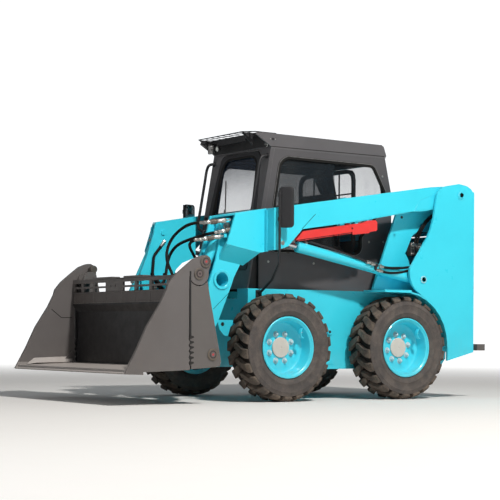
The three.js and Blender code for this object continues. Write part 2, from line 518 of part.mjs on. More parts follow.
// ---------- bucket ----------
const JAW_GAP = 7;
const jawArc = arc(JAW_PIN[0], JAW_PIN[1], 77, 166, 338, 8);
const backArc = arc(JAW_PIN[0], JAW_PIN[1], 77 + JAW_GAP, 326, 216, 7);
{
  const b = [];
  for (const [, s] of SIDES) {
    const teeth = [];
    for (let i = 0; i < 5; i++) { teeth.push([1956, 262 + i * 40], [1966, 262 + i * 40 + 20]); }
    const back = [[1956, 242], ...teeth, [1966, 480], ...backArc, [1829, 824], [1813, 743], [1717, 292], [1728, 258], [1863, 247]];
    b.push(plateY(back, s * (BUCKET_Y - SIDE_PLATE), s * BUCKET_Y));
    // inner ear that carries the jaw pivot
    const ear = [[1950, 262], [1950, 780], [1962, 860], ...arc(JAW_PIN[0], JAW_PIN[1], 62, 0, 140, 6), [1815, 760], [1735, 300], [1745, 262]];
    b.push(plateY(ear, s * 712, s * 726));
    b.push(plateY([[1875, 940], ...arc(JAW_PIN[0], JAW_PIN[1], 56, 100, -20, 5), [1955, 700], [1900, 700], [1872, 800], ...arc(JAW_PIN[0], JAW_PIN[1], 56, 200, 140, 2)], s * 806, s * 820));
    // pins
    b.push(cylY(JAW_PIN[0], JAW_PIN[1], 25, s * 714, s * (BUCKET_Y + 11)));
    b.push(cylY(JAW_PIN[0], JAW_PIN[1], 30, s * (BUCKET_Y + 1.5), s * (BUCKET_Y + 9)));
    b.push(cylY(JAW_BASE[0], JAW_BASE[1], 18, s * 714, s * (BUCKET_Y + 11)));
    b.push(cylY(JAW_BASE[0], JAW_BASE[1], 30, s * (BUCKET_Y - 2), s * (BUCKET_Y + 9)));
  }
  // mouldboard, floor lip, top rail with slots
  b.push(plateY([[1938, 262], [1956, 262], [1956, 640], [1990, 690], [1990, 875], [1972, 880], [1972, 700], [1938, 650]], -(BUCKET_Y - 1), BUCKET_Y - 1)
    .intersect(box(1700, 2100, -822, 822, 200, 1000)));
  b.push(plateY([[1745, 258], [1956, 244], [1956, 262], [1745, 276]], -(BUCKET_Y - 5), BUCKET_Y - 5));
  b.push(box(1905, 1990, -822, 822, 862, 882));
  b.push(box(1925, 1990, -500, -205, 878, 893));
  b.push(box(1925, 1990, -35, 245, 878, 893));
  b.push(box(1905, 1990, -822, 822, 690, 706));
  for (const y of [-640, 640, -300, 300]) b.push(plateY([[1755, 262], [1945, 262], [1945, 700], [1905, 700], [1790, 690]], y - 7, y + 7));
  let m = add(b);
  const slots = [];
  for (const [y0, y1] of [[-800, -690], [-655, -505], [-470, -305], [-45, 125], [160, 335], [370, 575], [610, 780]]) {
    slots.push(box(1960, 2010, y0, y1, 826, 852), box(1960, 2010, y0, y1, 786, 812));
  }
  slots.push(box(1960, 2010, -236, -222, 818, 832), box(1960, 2010, -162, -148, 818, 832));
  m = cut(m, slots);
  part('bucket_back', m, CHARCOAL());
}
{
  // hitch plate and its lugs
  let q = box(1736, 1752, -590, 590, 300, 700);
  const l = [q];
  for (const [, s] of SIDES) {
    const lug = [[1740, 320], ...arc(BUCKET_PIN[0], BUCKET_PIN[1], 42, 270, 90, 8), [1740, 480]];
    l.push(plateY(lug, s * 346, s * 368), plateY(lug, s * 510, s * 532));
    l.push(cylY(BUCKET_PIN[0], BUCKET_PIN[1], 20, s * 348, s * 530));
  }
  let m = add(l);
  const holes = [];
  for (const [, s] of SIDES) holes.push(box(1700, 1800, s * 400, s * 478, 440, 720));
  m = cut(m, holes);
  const k = [m];
  for (const [, s] of SIDES) {
    for (const [a, b] of [[400.5, 414], [464, 477.5]]) {
      k.push(plateY([[1738, 440], [1810, 440], [1810, 660], [1740, 668]], s * a, s * b));
    }
    k.push(cylY(TILT_EYE[0], TILT_EYE[1], 19, s * 393, s * 406), cylY(TILT_EYE[0], TILT_EYE[1], 19, s * 472, s * 485));
    k.push(box(1736, 1812, s * 392, s * 486, 425, 441));
  }
  part('quick_attach', add(k), CHARCOAL());
}
{
  const b = [];
  for (const [, s] of SIDES) {
    const teeth = [];
    for (let i = 4; i >= 0; i--) { teeth.push([1977, 262 + i * 40 + 20], [1967, 262 + i * 40]); }
    const jaw = [
      [2460, 219], [2448, 243], [2378, 366], [2300, 524], [2198, 677], [2151, 767], [2139, 808], [2091, 865], [2016, 926], [1941, 984], [1891, 1004],
      [1866, 1011], [1840, 1012], [1815, 1000], [1803, 975], [1808, 942], ...jawArc, [1976, 870], [1976, 480], ...teeth, [1967, 236],
    ];
    let p = plateY(jaw, s * (BUCKET_Y - SIDE_PLATE), s * BUCKET_Y);
    p = p.subtract(cylY(JAW_PIN[0], JAW_PIN[1], 27, s * 700, s * 900));
    b.push(p);
    // rod eye pin
    b.push(cylY(JAW_EYE[0], JAW_EYE[1], 19, s * 800, s * (BUCKET_Y + 11)));
    b.push(cylY(JAW_EYE[0], JAW_EYE[1], 30, s * (BUCKET_Y - 2), s * (BUCKET_Y + 9)));
    b.push(plateY([[1996, 262], [2080, 262], [1996, 345]], s * 815, s * 830));
  }
  // floor and cutting edge
  b.push(plateY([[1967, 236], [2440, 222], [2440, 240], [1967, 258]], -(BUCKET_Y - 4), BUCKET_Y - 4));
  b.push(plateY([[2325, 206], [2452, 210], [2467, 217], [2452, 224], [2325, 232]], -BUCKET_Y, BUCKET_Y));
  part('bucket_jaw', add(b), CHARCOAL());
}

// ---------- auxiliary hoses, hanging from the arms to the bucket ----------
const HOSE_R = 11;
const HOSES = {
  aux_hose_upper: [[1684, 556, 1256], [1707.7, 517, 1256.9], [1718.8, 472.6, 1253.9], [1723.4, 427.3, 1247.5], [1725.9, 382.5, 1237.7], [1728.5, 338.7, 1224], [1732.8, 296.8, 1205.6], [1739.7, 258.8, 1180.9], [1749.7, 228.5, 1148.1], [1762.7, 212.4, 1107.4], [1776.6, 215.7, 1064.1], [1789.4, 234.7, 1024.4], [1800.8, 263.4, 990.6], [1811.5, 297.6, 961.8], [1821.9, 334.7, 936.7], [1832.9, 373.1, 913.9], [1845.7, 411.3, 891.8], [1861.8, 448.2, 869.6], [1883.5, 481.8, 847.1], [1911.3, 511.6, 825.9], [1943.3, 540.2, 809.4], [1961, 561, 804.5]],
  aux_hose_middle: [[1560, 552, 1196], [1594.5, 524, 1189.1], [1621.6, 489.2, 1179.4], [1642.7, 450.6, 1169.2], [1659.5, 409.9, 1159.5], [1673.4, 367.9, 1150.1], [1685.5, 325.6, 1139.9], [1697, 283.9, 1127.2], [1709, 244.3, 1109.2], [1722.7, 211.7, 1081.5], [1738.4, 194.1, 1043.5], [1754.4, 194, 1001.5], [1770.3, 206.3, 961.2], [1787.3, 225.6, 924.1], [1806.7, 249.2, 890.9], [1830, 274.7, 861.8], [1858.4, 300, 837.6], [1892.5, 323.1, 819.2], [1931, 343.2, 806.9], [1965.5, 359, 801]],
};
for (const [name, pts] of Object.entries(HOSES)) {
  const path = new THREE.CatmullRomCurve3(pts.map((q) => new THREE.Vector3(...q)), false, 'centripetal');
  const ring = new THREE.Shape();
  for (let i = 0; i <= 8; i++) {
    const a = (i / 8) * Math.PI * 2;
    if (i === 0) ring.moveTo(HOSE_R, 0); else if (i < 8) ring.lineTo(HOSE_R * Math.cos(a), HOSE_R * Math.sin(a));
  }
  ring.closePath();
  const g = new THREE.ExtrudeGeometry(ring, { steps: 34, bevelEnabled: false, extrudePath: path, curveSegments: 8 });
  part(name, solid(g), HOSE());
}

export default group;
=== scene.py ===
# Skid steer loader with a clamshell bucket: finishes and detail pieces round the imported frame.
# Positions below are in vehicle millimetres (X from the rear axle, Y to the left, Z from the ground)
# and are turned into the row frame, in metres, when a piece is made.
import math
import bpy
import bmesh
import numpy as np
from mathutils import Matrix, Vector


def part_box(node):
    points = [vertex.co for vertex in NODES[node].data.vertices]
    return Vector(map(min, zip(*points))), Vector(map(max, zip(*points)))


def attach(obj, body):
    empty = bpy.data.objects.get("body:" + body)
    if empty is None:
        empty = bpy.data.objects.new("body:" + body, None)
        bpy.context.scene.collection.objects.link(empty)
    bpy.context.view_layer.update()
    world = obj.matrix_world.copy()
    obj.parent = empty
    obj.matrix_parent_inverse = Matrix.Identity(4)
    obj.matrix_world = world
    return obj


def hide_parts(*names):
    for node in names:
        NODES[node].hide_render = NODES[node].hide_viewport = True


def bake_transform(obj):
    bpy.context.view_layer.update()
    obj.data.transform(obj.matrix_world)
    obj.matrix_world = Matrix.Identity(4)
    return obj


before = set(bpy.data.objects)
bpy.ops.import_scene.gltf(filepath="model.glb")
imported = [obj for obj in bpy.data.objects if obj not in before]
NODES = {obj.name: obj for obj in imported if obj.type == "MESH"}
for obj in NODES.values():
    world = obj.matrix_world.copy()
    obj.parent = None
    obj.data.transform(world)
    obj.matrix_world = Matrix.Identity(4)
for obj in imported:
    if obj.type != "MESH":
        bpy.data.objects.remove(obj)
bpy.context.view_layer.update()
scene = bpy.context.scene
X0 = -821.0


def row(p):
    return Vector(((p[0] + X0) / 1000.0, p[1] / 1000.0, p[2] / 1000.0))


# ------------------------------------------------------------------ camera
PHI, FOCAL = 0.5883, 1521.8156
CX, CY, ROLL = 250.0, 334.5784, 0.0069
cam_data = bpy.data.cameras.new("camera")
cam = bpy.data.objects.new("camera", cam_data)
scene.collection.objects.link(cam)
axis = Vector((-math.sin(PHI), -math.cos(PHI), 0))
right = Vector((-math.cos(PHI), math.sin(PHI), 0))
up = Vector((0, 0, 1))
r3 = right * math.cos(ROLL) + up * math.sin(ROLL)
u3 = -right * math.sin(ROLL) + up * math.cos(ROLL)
m = Matrix((r3, u3, -axis)).transposed().to_4x4()
m.translation = row((7305.7, 9578.9, 477.1))
cam.matrix_world = m
cam_data.sensor_width = 36.0
cam_data.lens = FOCAL * 36.0 / 500.0
cam_data.shift_x = (250.0 - CX) / 500.0
cam_data.shift_y = (CY - 250.0) / 500.0
cam_data.clip_end = 100
cam_data.dof.use_dof = False
scene.camera = cam


# ------------------------------------------------------------------ materials
def srgb(r, g, b):
    def f(c):
        c = c / 255.0
        return c / 12.92 if c <= 0.04045 else ((c + 0.055) / 1.055) ** 2.4
    return (f(r), f(g), f(b), 1.0)


class Nodes:
    def __init__(self, name):
        self.mat = bpy.data.materials.new(name)
        self.mat.use_nodes = True
        self.t = self.mat.node_tree
        self.t.nodes.clear()
        self.out = self.t.nodes.new("ShaderNodeOutputMaterial")
        self.bsdf = self.t.nodes.new("ShaderNodeBsdfPrincipled")
        self.t.links.new(self.bsdf.outputs[0], self.out.inputs[0])
        self.coord = self.t.nodes.new("ShaderNodeTexCoord")

    def n(self, kind, **props):
        x = self.t.nodes.new(kind)
        for k, v in props.items():
            setattr(x, k, v)
        return x

    def link(self, a, b):
        self.t.links.new(a, b)

    def noise(self, scale, detail=4.0, rough=0.55, stretch=None):
        x = self.n("ShaderNodeTexNoise")
        x.inputs["Scale"].default_value = scale
        x.inputs["Detail"].default_value = detail
        x.inputs["Roughness"].default_value = rough
        src = self.coord.outputs["Object"]
        if stretch:
            mp = self.n("ShaderNodeMapping")
            mp.inputs["Scale"].default_value = stretch
            self.link(src, mp.inputs["Vector"])
            src = mp.outputs[0]
        self.link(src, x.inputs["Vector"])
        return x.outputs["Fac"]

    def remap(self, src, a, b, c=0.0, d=1.0, smooth=True):
        x = self.n("ShaderNodeMapRange")
        if smooth:
            x.interpolation_type = "SMOOTHSTEP"
        x.inputs["From Min"].default_value = a
        x.inputs["From Max"].default_value = b
        x.inputs["To Min"].default_value = c
        x.inputs["To Max"].default_value = d
        self.link(src, x.inputs["Value"])
        return x.outputs["Result"]

    def math(self, op, a, b=None):
        x = self.n("ShaderNodeMath", operation=op)
        for i, v in enumerate([a, b]):
            if v is None:
                continue
            if isinstance(v, (int, float)):
                x.inputs[i].default_value = v
            else:
                self.link(v, x.inputs[i])
        return x.outputs[0]

    def mix(self, fac, a, b):
        x = self.n("ShaderNodeMix", data_type="RGBA")
        if isinstance(fac, (int, float)):
            x.inputs[0].default_value = fac
        else:
            self.link(fac, x.inputs[0])
        for s, v in ((x.inputs[6], a), (x.inputs[7], b)):
            if isinstance(v, tuple):
                s.default_value = v
            else:
                self.link(v, s)
        return x.outputs[2]

    def bump(self, height, strength, distance, base=None):
        x = self.n("ShaderNodeBump")
        x.inputs["Strength"].default_value = strength
        x.inputs["Distance"].default_value = distance
        self.link(height, x.inputs["Height"])
        if base is not None:
            self.link(base, x.inputs["Normal"])
        return x.outputs["Normal"]

    def z(self):
        x = self.n("ShaderNodeSeparateXYZ")
        self.link(self.coord.outputs["Object"], x.inputs[0])
        return x.outputs[2]

    def xyz(self):
        x = self.n("ShaderNodeSeparateXYZ")
        self.link(self.coord.outputs["Object"], x.inputs[0])
        return x.outputs[0], x.outputs[1], x.outputs[2]

    def all_of(self, *tests):
        """1 where every (value, op, limit) holds."""
        out = None
        for v, op, lim in tests:
            t = self.math("GREATER_THAN" if op == ">" else "LESS_THAN", v, lim)
            out = t if out is None else self.math("MULTIPLY", out, t)
        return out

    def upness(self):
        x = self.n("ShaderNodeSeparateXYZ")
        self.link(self.coord.outputs["Normal"], x.inputs[0])
        return x.outputs[2]

    def edge(self, radius):
        """1 on convex or concave edges, 0 on flats."""
        b = self.n("ShaderNodeBevel")
        b.samples = 4
        b.inputs["Radius"].default_value = radius
        g = self.n("ShaderNodeNewGeometry")
        d = self.n("ShaderNodeVectorMath", operation="DOT_PRODUCT")
        self.link(b.outputs[0], d.inputs[0])
        self.link(g.outputs["Normal"], d.inputs[1])
        return self.remap(d.outputs["Value"], 0.985, 0.86)


def finish(name, base, alt=None, rough=0.45, metallic=0.0, dust=0.25, dust_col=None, dust_top=0.7,
           wear=0.0, wear_col=None, wear_r=0.003, bump=0.15, grain=220.0, coat=0.0, spec=0.5, blotch=0.35, up_dust=0.3, layers=()):
    """A worn, slightly dusty surface: colour blotches, fine grain, dust low down and on top faces, bright edges."""
    m = Nodes(name)
    alt = alt or tuple([c * 0.8 for c in base[:3]] + [1.0])
    dust_col = dust_col or srgb(158, 140, 116)
    big = m.noise(2.3, 5.0, 0.6)
    mid = m.noise(14.0, 6.0, 0.65)
    fine = m.noise(grain, 3.0, 0.6)
    col = m.mix(m.math("MULTIPLY", m.remap(big, 0.35, 0.7), blotch), base, alt)
    streak = m.noise(9.0, 4.0, 0.6, (3.0, 3.0, 0.25))
    low = m.remap(m.z(), dust_top, 0.02)
    upn = m.remap(m.upness(), 0.55, 0.98)
    spots = m.remap(m.math("ADD", m.math("MULTIPLY", mid, 0.6), m.math("MULTIPLY", streak, 0.5)), 0.42, 0.72)
    amount = m.math("ADD", m.math("MULTIPLY", low, dust), m.math("MULTIPLY", upn, dust * up_dust * 2))
    mask = m.math("MINIMUM", m.math("ADD", m.math("MULTIPLY", amount, spots), m.math("MULTIPLY", amount, 0.25)), 0.92)
    col = m.mix(mask, col, dust_col)
    if wear > 0:
        e = m.edge(wear_r)
        chip = m.remap(m.noise(70.0, 6.0, 0.7), 0.42, 0.6)
        we = m.math("MULTIPLY", m.math("MULTIPLY", e, chip), wear)
        col = m.mix(we, col, wear_col or srgb(190, 190, 186))
    # layers paint a colour over masked regions; some masks are painted shade, on the insides of the cab and the bucket
    for where, over in layers:
        col = m.mix(where(m), col, over)
    m.link(col, m.bsdf.inputs["Base Color"])
    r = m.math("ADD", m.remap(mid, 0.3, 0.75, rough - 0.07, rough + 0.1), m.math("MULTIPLY", mask, 0.35))
    m.link(m.math("MINIMUM", r, 1.0), m.bsdf.inputs["Roughness"])
    m.bsdf.inputs["Metallic"].default_value = metallic
    m.bsdf.inputs["Specular IOR Level"].default_value = spec
    if coat:
        m.bsdf.inputs["Coat Weight"].default_value = coat
        m.bsdf.inputs["Coat Roughness"].default_value = 0.12
    nrm = m.bump(fine, bump, 0.0006)
    nrm = m.bump(big, 0.25, 0.0025, nrm)
    m.link(nrm, m.bsdf.inputs["Normal"])
    return m.mat


def rubber(name, base, dust_amt, dusty=None, grain=300.0, cracks=0.3):
    m = Nodes(name)
    dusty = dusty or srgb(134, 119, 102)
    mid = m.noise(18.0, 6.0, 0.65)
    fine = m.noise(grain, 4.0, 0.65)
    big = m.noise(5.0, 4.0, 0.6)
    d = m.math("ADD", m.math("MULTIPLY", m.remap(mid, 0.36, 0.7), dust_amt), m.math("MULTIPLY", m.remap(big, 0.3, 0.75), dust_amt * 0.5))
    col = m.mix(m.math("MINIMUM", d, 1.0), base, dusty)
    col = m.mix(m.math("MULTIPLY", m.remap(fine, 0.5, 0.75), 0.25), col, tuple([c * 1.5 for c in dusty[:3]] + [1.0]))
    m.link(col, m.bsdf.inputs["Base Color"])
    m.link(m.remap(mid, 0.3, 0.7, 0.72, 0.95), m.bsdf.inputs["Roughness"])
    m.bsdf.inputs["Specular IOR Level"].default_value = 0.25
    n1 = m.bump(fine, 0.35, 0.0008)
    m.link(m.bump(mid, cracks, 0.003, n1), m.bsdf.inputs["Normal"])
    return m.mat


def glass(name, tint, a_low, a_high, z_low=1.3, z_high=1.75, dirt=0.12, front=None):
    """Tinted safety glass with a clear gloss, darker towards the top, a little dusty in streaks."""
    m = Nodes(name)
    big = m.noise(3.0, 4.0, 0.6)
    streak = m.noise(12.0, 5.0, 0.6, (1.0, 1.0, 0.15))
    d = m.math("MULTIPLY", m.remap(m.math("MULTIPLY", streak, big), 0.2, 0.45), dirt)
    m.link(m.mix(d, tint, srgb(170, 165, 150)), m.bsdf.inputs["Base Color"])
    m.link(m.math("ADD", m.math("MULTIPLY", d, 1.2), 0.03), m.bsdf.inputs["Roughness"])
    a = m.remap(m.z(), z_low, z_high, a_low, a_high)
    # front: forward of this x the glass turns darker, painted shade for the dark cab seen through it
    if front:
        a = m.math("MAXIMUM", a, m.remap(m.xyz()[0], front[0], front[0] + 0.05, 0.0, front[1]))
    m.link(m.math("MINIMUM", m.math("ADD", d, a), 1.0), m.bsdf.inputs["Alpha"])
    m.bsdf.inputs["Specular IOR Level"].default_value = 0.6
    m.bsdf.inputs["Coat Weight"].default_value = 0.35
    m.bsdf.inputs["Coat Roughness"].default_value = 0.03
    return m.mat


# Painted shade: the inside of the cab frame, between the side walls and behind the front glass, is painted near-black.
def cab_inside_painted_shade(m):
    x, y, z = m.xyz()
    slope = m.math("ADD", m.math("MULTIPLY", z, -0.1817), 0.18 + 1.858 * 0.1817 - 0.014)
    return m.all_of((m.math("ABSOLUTE", y), "<", 0.384), (m.math("SUBTRACT", slope, x), ">", 0.0), (x, ">", -0.94), (z, "<", 1.857))


# Painted shade: the inside of the bucket between the side plates, low down, is painted near-black.
def bucket_inside_painted_shade(m):
    x, y, z = m.xyz()
    return m.math("MULTIPLY", m.all_of((m.math("ABSOLUTE", y), "<", 0.836), (z, "<", 0.702), (z, ">", 0.2)), 0.97)


# Painted shade: a darker band across the inside of the bucket, reaching a little above the near-black part.
def bucket_band_painted_shade(m):
    x, y, z = m.xyz()
    return m.math("MULTIPLY", m.all_of((m.math("ABSOLUTE", y), "<", 0.836), (z, "<", 0.79), (z, ">", 0.2)), 0.5)


def floor_plate(m):
    x, y, z = m.xyz()
    return m.math("MULTIPLY", m.math("MULTIPLY", m.remap(z, 0.31, 0.255), m.math("MULTIPLY", m.remap(m.upness(), 0.3, 0.8), m.all_of((m.math("ABSOLUTE", y), "<", 0.838)))), 0.85)


def pin_mark(cx, cz, r, amount=1.0):
    """A round mark on the outer faces of the side plates, centred on a pin (row frame, metres)."""
    def where(m):
        x, y, z = m.xyz()
        dx, dz = m.math("SUBTRACT", x, cx), m.math("SUBTRACT", z, cz)
        d2 = m.math("ADD", m.math("MULTIPLY", dx, dx), m.math("MULTIPLY", dz, dz))
        return m.math("MULTIPLY", m.all_of((d2, "<", r * r), (m.math("ABSOLUTE", y), ">", 0.8515)), amount)
    return where


def pin_layers(*pins):
    out = []
    for x, z, cap in pins:
        cx, cz = (x + X0) / 1000.0, z / 1000.0
        out += [(pin_mark(cx, cz, 0.040, 0.55), srgb(66, 58, 56)), (pin_mark(cx, cz, 0.0245, 0.9), srgb(40, 36, 36)), (pin_mark(cx, cz, 0.0195, 0.9), srgb(104, 92, 90))]
        out.append((pin_mark(cx, cz, 0.0075, 0.9), srgb(190, 44, 52) if cap else srgb(44, 40, 40)))
    return out


def edge_plate(m):
    x, y, z = m.xyz()
    return m.math("MULTIPLY", m.math("MULTIPLY", m.remap(x, 1.52, 1.56), m.all_of((z, "<", 0.262), (m.math("ABSOLUTE", y), "<", 0.838))), 0.6)


CYAN_LIT = srgb(60, 214, 236)
M = {}
M["cyan"] = finish("machine_paint", CYAN_LIT, srgb(48, 200, 224), rough=0.34, dust=0.14, dust_col=srgb(150, 168, 160), wear=0.5, wear_col=srgb(150, 222, 230), coat=0.25, bump=0.05, grain=120)
M["rim"] = finish("rim_paint", CYAN_LIT, srgb(46, 190, 212), rough=0.36, dust=0.24, dust_col=srgb(150, 160, 146), dust_top=0.5, wear=0.6, wear_col=srgb(170, 225, 230), coat=0.2, bump=0.06, grain=140)
M["cab"] = finish("cab_paint", srgb(92, 90, 92), srgb(80, 78, 80), rough=0.42, dust=0.12, dust_top=1.0, wear=0.4, wear_col=srgb(140, 136, 132), bump=0.25, grain=320, coat=0.1, up_dust=0.1)
# The cab frame's paint, with its inside painted near-black as painted shade.
M["cab_shell"] = finish("cab_shell_paint", srgb(84, 82, 84), srgb(72, 70, 72), rough=0.42, dust=0.12, dust_top=1.0, wear=0.4, wear_col=srgb(136, 132, 130), bump=0.25, grain=320, coat=0.1, up_dust=0.1,
                        layers=[(cab_inside_painted_shade, srgb(22, 23, 25))])
BUCKET = dict(rough=0.46, dust=0.16, dust_col=srgb(132, 122, 112), dust_top=0.55, wear=0.7, wear_col=srgb(150, 142, 136), wear_r=0.004, bump=0.3, grain=160, coat=0.05, up_dust=0.2)
M["bucket"] = finish("bucket_paint", srgb(98, 94, 92), srgb(84, 79, 76), **BUCKET)
# The bucket shell's paint: pin marks, then painted shade inside the bucket, a darker band and a near-black lower part.
M["bucket_shell"] = finish("bucket_shell_paint", srgb(98, 94, 92), srgb(84, 79, 76), layers=pin_layers((1898, 885, False), (1788, 340, True)) + [(bucket_band_painted_shade, srgb(60, 50, 46)), (bucket_inside_painted_shade, srgb(22, 22, 24))], **BUCKET)
M["jaw"] = finish("jaw_paint", srgb(100, 96, 95), srgb(88, 82, 79), layers=pin_layers((1898, 885, False), (1848, 968, True)) + [(floor_plate, srgb(192, 184, 178)), (edge_plate, srgb(170, 164, 160))], **BUCKET)
M["black"] = finish("black_trim", srgb(30, 30, 33), srgb(38, 37, 39), rough=0.5, dust=0.12, dust_top=1.0, wear=0.2, wear_col=srgb(90, 88, 88), bump=0.3, grain=420, up_dust=0.12)
# Near-black, for the header panel, and as painted shade for the bucket's plate joints and the front lug holes.
M["dark"] = finish("cab_lining_and_painted_shade", srgb(18, 18, 20), srgb(24, 24, 26), rough=0.6, dust=0.05, bump=0.3, grain=420, up_dust=0.05)
M["dot"] = finish("grease_cap", srgb(176, 40, 46), srgb(140, 30, 36), rough=0.4, dust=0.1, bump=0.2, grain=500)
M["seal"] = rubber("window_rubber", srgb(14, 14, 15), 0.12, srgb(70, 66, 60), 500, 0.1)
M["tyre"] = rubber("tyre_rubber", srgb(72, 68, 67), 0.34, srgb(122, 112, 104), 260, 0.15)
# Near-black rubber for the tread base between the lugs: painted shade.
M["gap"] = rubber("tyre_gap_painted_shade", srgb(22, 19, 18), 0.12, srgb(70, 60, 52), 260, 0.3)
M["nut"] = finish("wheel_nut", srgb(188, 208, 212), srgb(160, 186, 192), rough=0.35, dust=0.15, dust_top=0.6, bump=0.1, grain=500)
M["worn"] = finish("worn_edge", srgb(182, 176, 172), srgb(150, 142, 136), rough=0.5, dust=0.1, bump=0.3, grain=200, blotch=0.6)
M["tread"] = rubber("tread_rubber", srgb(62, 57, 54), 0.42, srgb(134, 120, 106), 200, 0.5)
M["hose"] = rubber("hose_rubber", srgb(13, 13, 14), 0.1, srgb(70, 64, 58), 600, 0.15)
M["chrome"] = finish("rod_chrome", srgb(205, 207, 210), srgb(188, 190, 194), rough=0.12, metallic=1.0, dust=0.1, bump=0.02, grain=300, blotch=0.5)
M["zinc"] = finish("zinc_fitting", srgb(190, 190, 186), srgb(150, 148, 142), rough=0.32, metallic=0.9, dust=0.25, dust_top=1.2, bump=0.12, grain=500, blotch=0.7)
M["steel"] = finish("worn_steel", srgb(120, 112, 104), srgb(92, 84, 76), rough=0.45, metallic=0.6, dust=0.4, bump=0.3, grain=260, blotch=0.7)
M["red"] = finish("safety_red", srgb(226, 56, 54), srgb(206, 40, 42), rough=0.36, dust=0.12, dust_top=1.6, wear=0.5, wear_col=srgb(240, 130, 120), coat=0.3, bump=0.06)
M["iron"] = finish("engine_iron", srgb(52, 52, 54), srgb(74, 70, 64), rough=0.55, metallic=0.5, dust=0.4, dust_top=1.4, wear=0.4, bump=0.5, grain=140, blotch=0.8)
M["cap"] = finish("hub_cap", srgb(205, 198, 190), srgb(182, 172, 162), rough=0.45, dust=0.35, dust_top=0.6, wear=0.4, wear_col=srgb(230, 228, 224), bump=0.12)
M["vinyl"] = finish("seat_vinyl", srgb(26, 26, 28), srgb(36, 35, 35), rough=0.5, dust=0.15, dust_top=2.0, wear=0.2, wear_col=srgb(74, 72, 70), bump=0.6, grain=900)
M["plastic"] = finish("cab_plastic", srgb(30, 30, 32), srgb(40, 39, 39), rough=0.55, dust=0.15, dust_top=2.0, bump=0.4, grain=700)
M["lens_red"] = finish("tail_lens", srgb(120, 10, 14), srgb(150, 16, 18), rough=0.12, dust=0.1, bump=0.3, grain=60, coat=0.8)
M["lens"] = finish("lamp_lens", srgb(214, 216, 210), srgb(190, 196, 196), rough=0.1, dust=0.05, bump=0.4, grain=60, coat=0.8)
M["mirror"] = finish("mirror_glass", srgb(200, 206, 210), srgb(180, 186, 190), rough=0.05, metallic=1.0, dust=0.06, bump=0.01)
M["edge_trim"] = finish("edge_trim", srgb(128, 127, 126), srgb(104, 103, 102), rough=0.3, metallic=0.4, dust=0.1, bump=0.05)
M["glass_front"] = glass("glass_front", srgb(26, 44, 66), 0.12, 0.42, 1.5, 1.8, 0.05)
M["glass_side"] = glass("glass_side", srgb(34, 48, 50), 0.12, 0.26, 1.3, 1.85, 0.04)
# The front part of the left glass is made much darker: painted shade for the dark cab seen through it.
M["glass_left"] = glass("glass_left", srgb(26, 34, 40), 0.10, 0.20, 1.3, 1.85, 0.04, (-0.433, 0.62))
M["glass_clear"] = glass("glass_clear", srgb(50, 62, 68), 0.08, 0.12, 1.2, 1.8, 0.05)
M["amber"] = finish("amber_lens", srgb(220, 100, 10), srgb(190, 80, 8), rough=0.15, dust=0.1, bump=0.3, grain=60, coat=0.8)

# ------------------------------------------------------------------ mesh building
def smooth_path(pts, step=None, per=8):
    """Centripetal Catmull-Rom through the points, as the frame's own hoses use."""
    P = [np.array(p, float) for p in pts]
    if len(P) == 2:
        return [P[0] + (P[1] - P[0]) * t for t in np.linspace(0, 1, 2)]
    ext = [P[0] * 2 - P[1]] + P + [P[-1] * 2 - P[-2]]
    out = []
    for i in range(1, len(ext) - 2):
        p0, p1, p2, p3 = ext[i - 1:i + 3]
        t0 = 0.0
        t1 = t0 + max(1e-6, np.linalg.norm(p1 - p0)) ** 0.5
        t2 = t1 + max(1e-6, np.linalg.norm(p2 - p1)) ** 0.5
        t3 = t2 + max(1e-6, np.linalg.norm(p3 - p2)) ** 0.5
        for k in range(per):
            t = t1 + (t2 - t1) * k / per
            a1 = (t1 - t) / (t1 - t0) * p0 + (t - t0) / (t1 - t0) * p1
            a2 = (t2 - t) / (t2 - t1) * p1 + (t - t1) / (t2 - t1) * p2
            a3 = (t3 - t) / (t3 - t2) * p2 + (t - t2) / (t3 - t2) * p3
            b1 = (t2 - t) / (t2 - t0) * a1 + (t - t0) / (t2 - t0) * a2
            b2 = (t3 - t) / (t3 - t1) * a2 + (t - t1) / (t3 - t1) * a3
            out.append((t2 - t) / (t2 - t1) * b1 + (t - t1) / (t2 - t1) * b2)
    out.append(P[-1])
    return out


def rounded(pts, radii, n=6):
    """A polygon with its corners rounded."""
    out = []
    L = len(pts)
    for i, p in enumerate(pts):
        r = radii[i] if isinstance(radii, (list, tuple)) else radii
        p = np.array(p, float)
        if r <= 0:
            out.append(tuple(p))
            continue
        a, b = np.array(pts[i - 1], float) - p, np.array(pts[(i + 1) % L], float) - p
        la, lb = np.linalg.norm(a), np.linalg.norm(b)
        a, b = a / la, b / lb
        half = math.acos(max(-1, min(1, float(a @ b)))) / 2
        d = min(r / math.tan(half), la * 0.48, lb * 0.48)
        rr = d * math.tan(half)
        c = p + (a + b) / np.linalg.norm(a + b) * (rr / math.sin(half))
        s, e = p + a * d - c, p + b * d - c
        a0 = math.atan2(s[1], s[0])
        da = math.atan2(e[1], e[0]) - a0
        while da > math.pi:
            da -= 2 * math.pi
        while da < -math.pi:
            da += 2 * math.pi
        for k in range(n + 1):
            t = a0 + da * k / n
            out.append((c[0] + rr * math.cos(t), c[1] + rr * math.sin(t)))
    return out


def area2(p):
    return sum(p[i][0] * p[(i + 1) % len(p)][1] - p[(i + 1) % len(p)][0] * p[i][1] for i in range(len(p))) / 2


def offset(poly, d):
    """The polygon moved outwards by d, vertex by vertex."""
    s = 1 if area2(poly) > 0 else -1
    out, L = [], len(poly)
    for i in range(L):
        p0, p, p1 = (np.array(poly[j % L], float) for j in (i - 1, i, i + 1))
        e0, e1 = p - p0, p1 - p
        if np.linalg.norm(e0) < 1e-6 or np.linalg.norm(e1) < 1e-6:
            out.append(tuple(p))
            continue
        n0 = np.array([e0[1], -e0[0]]) / np.linalg.norm(e0) * s
        n1 = np.array([e1[1], -e1[0]]) / np.linalg.norm(e1) * s
        n = n0 + n1
        n = n / max(1e-6, np.linalg.norm(n))
        out.append(tuple(p + n * d / max(0.35, float(n @ n0))))
    return out


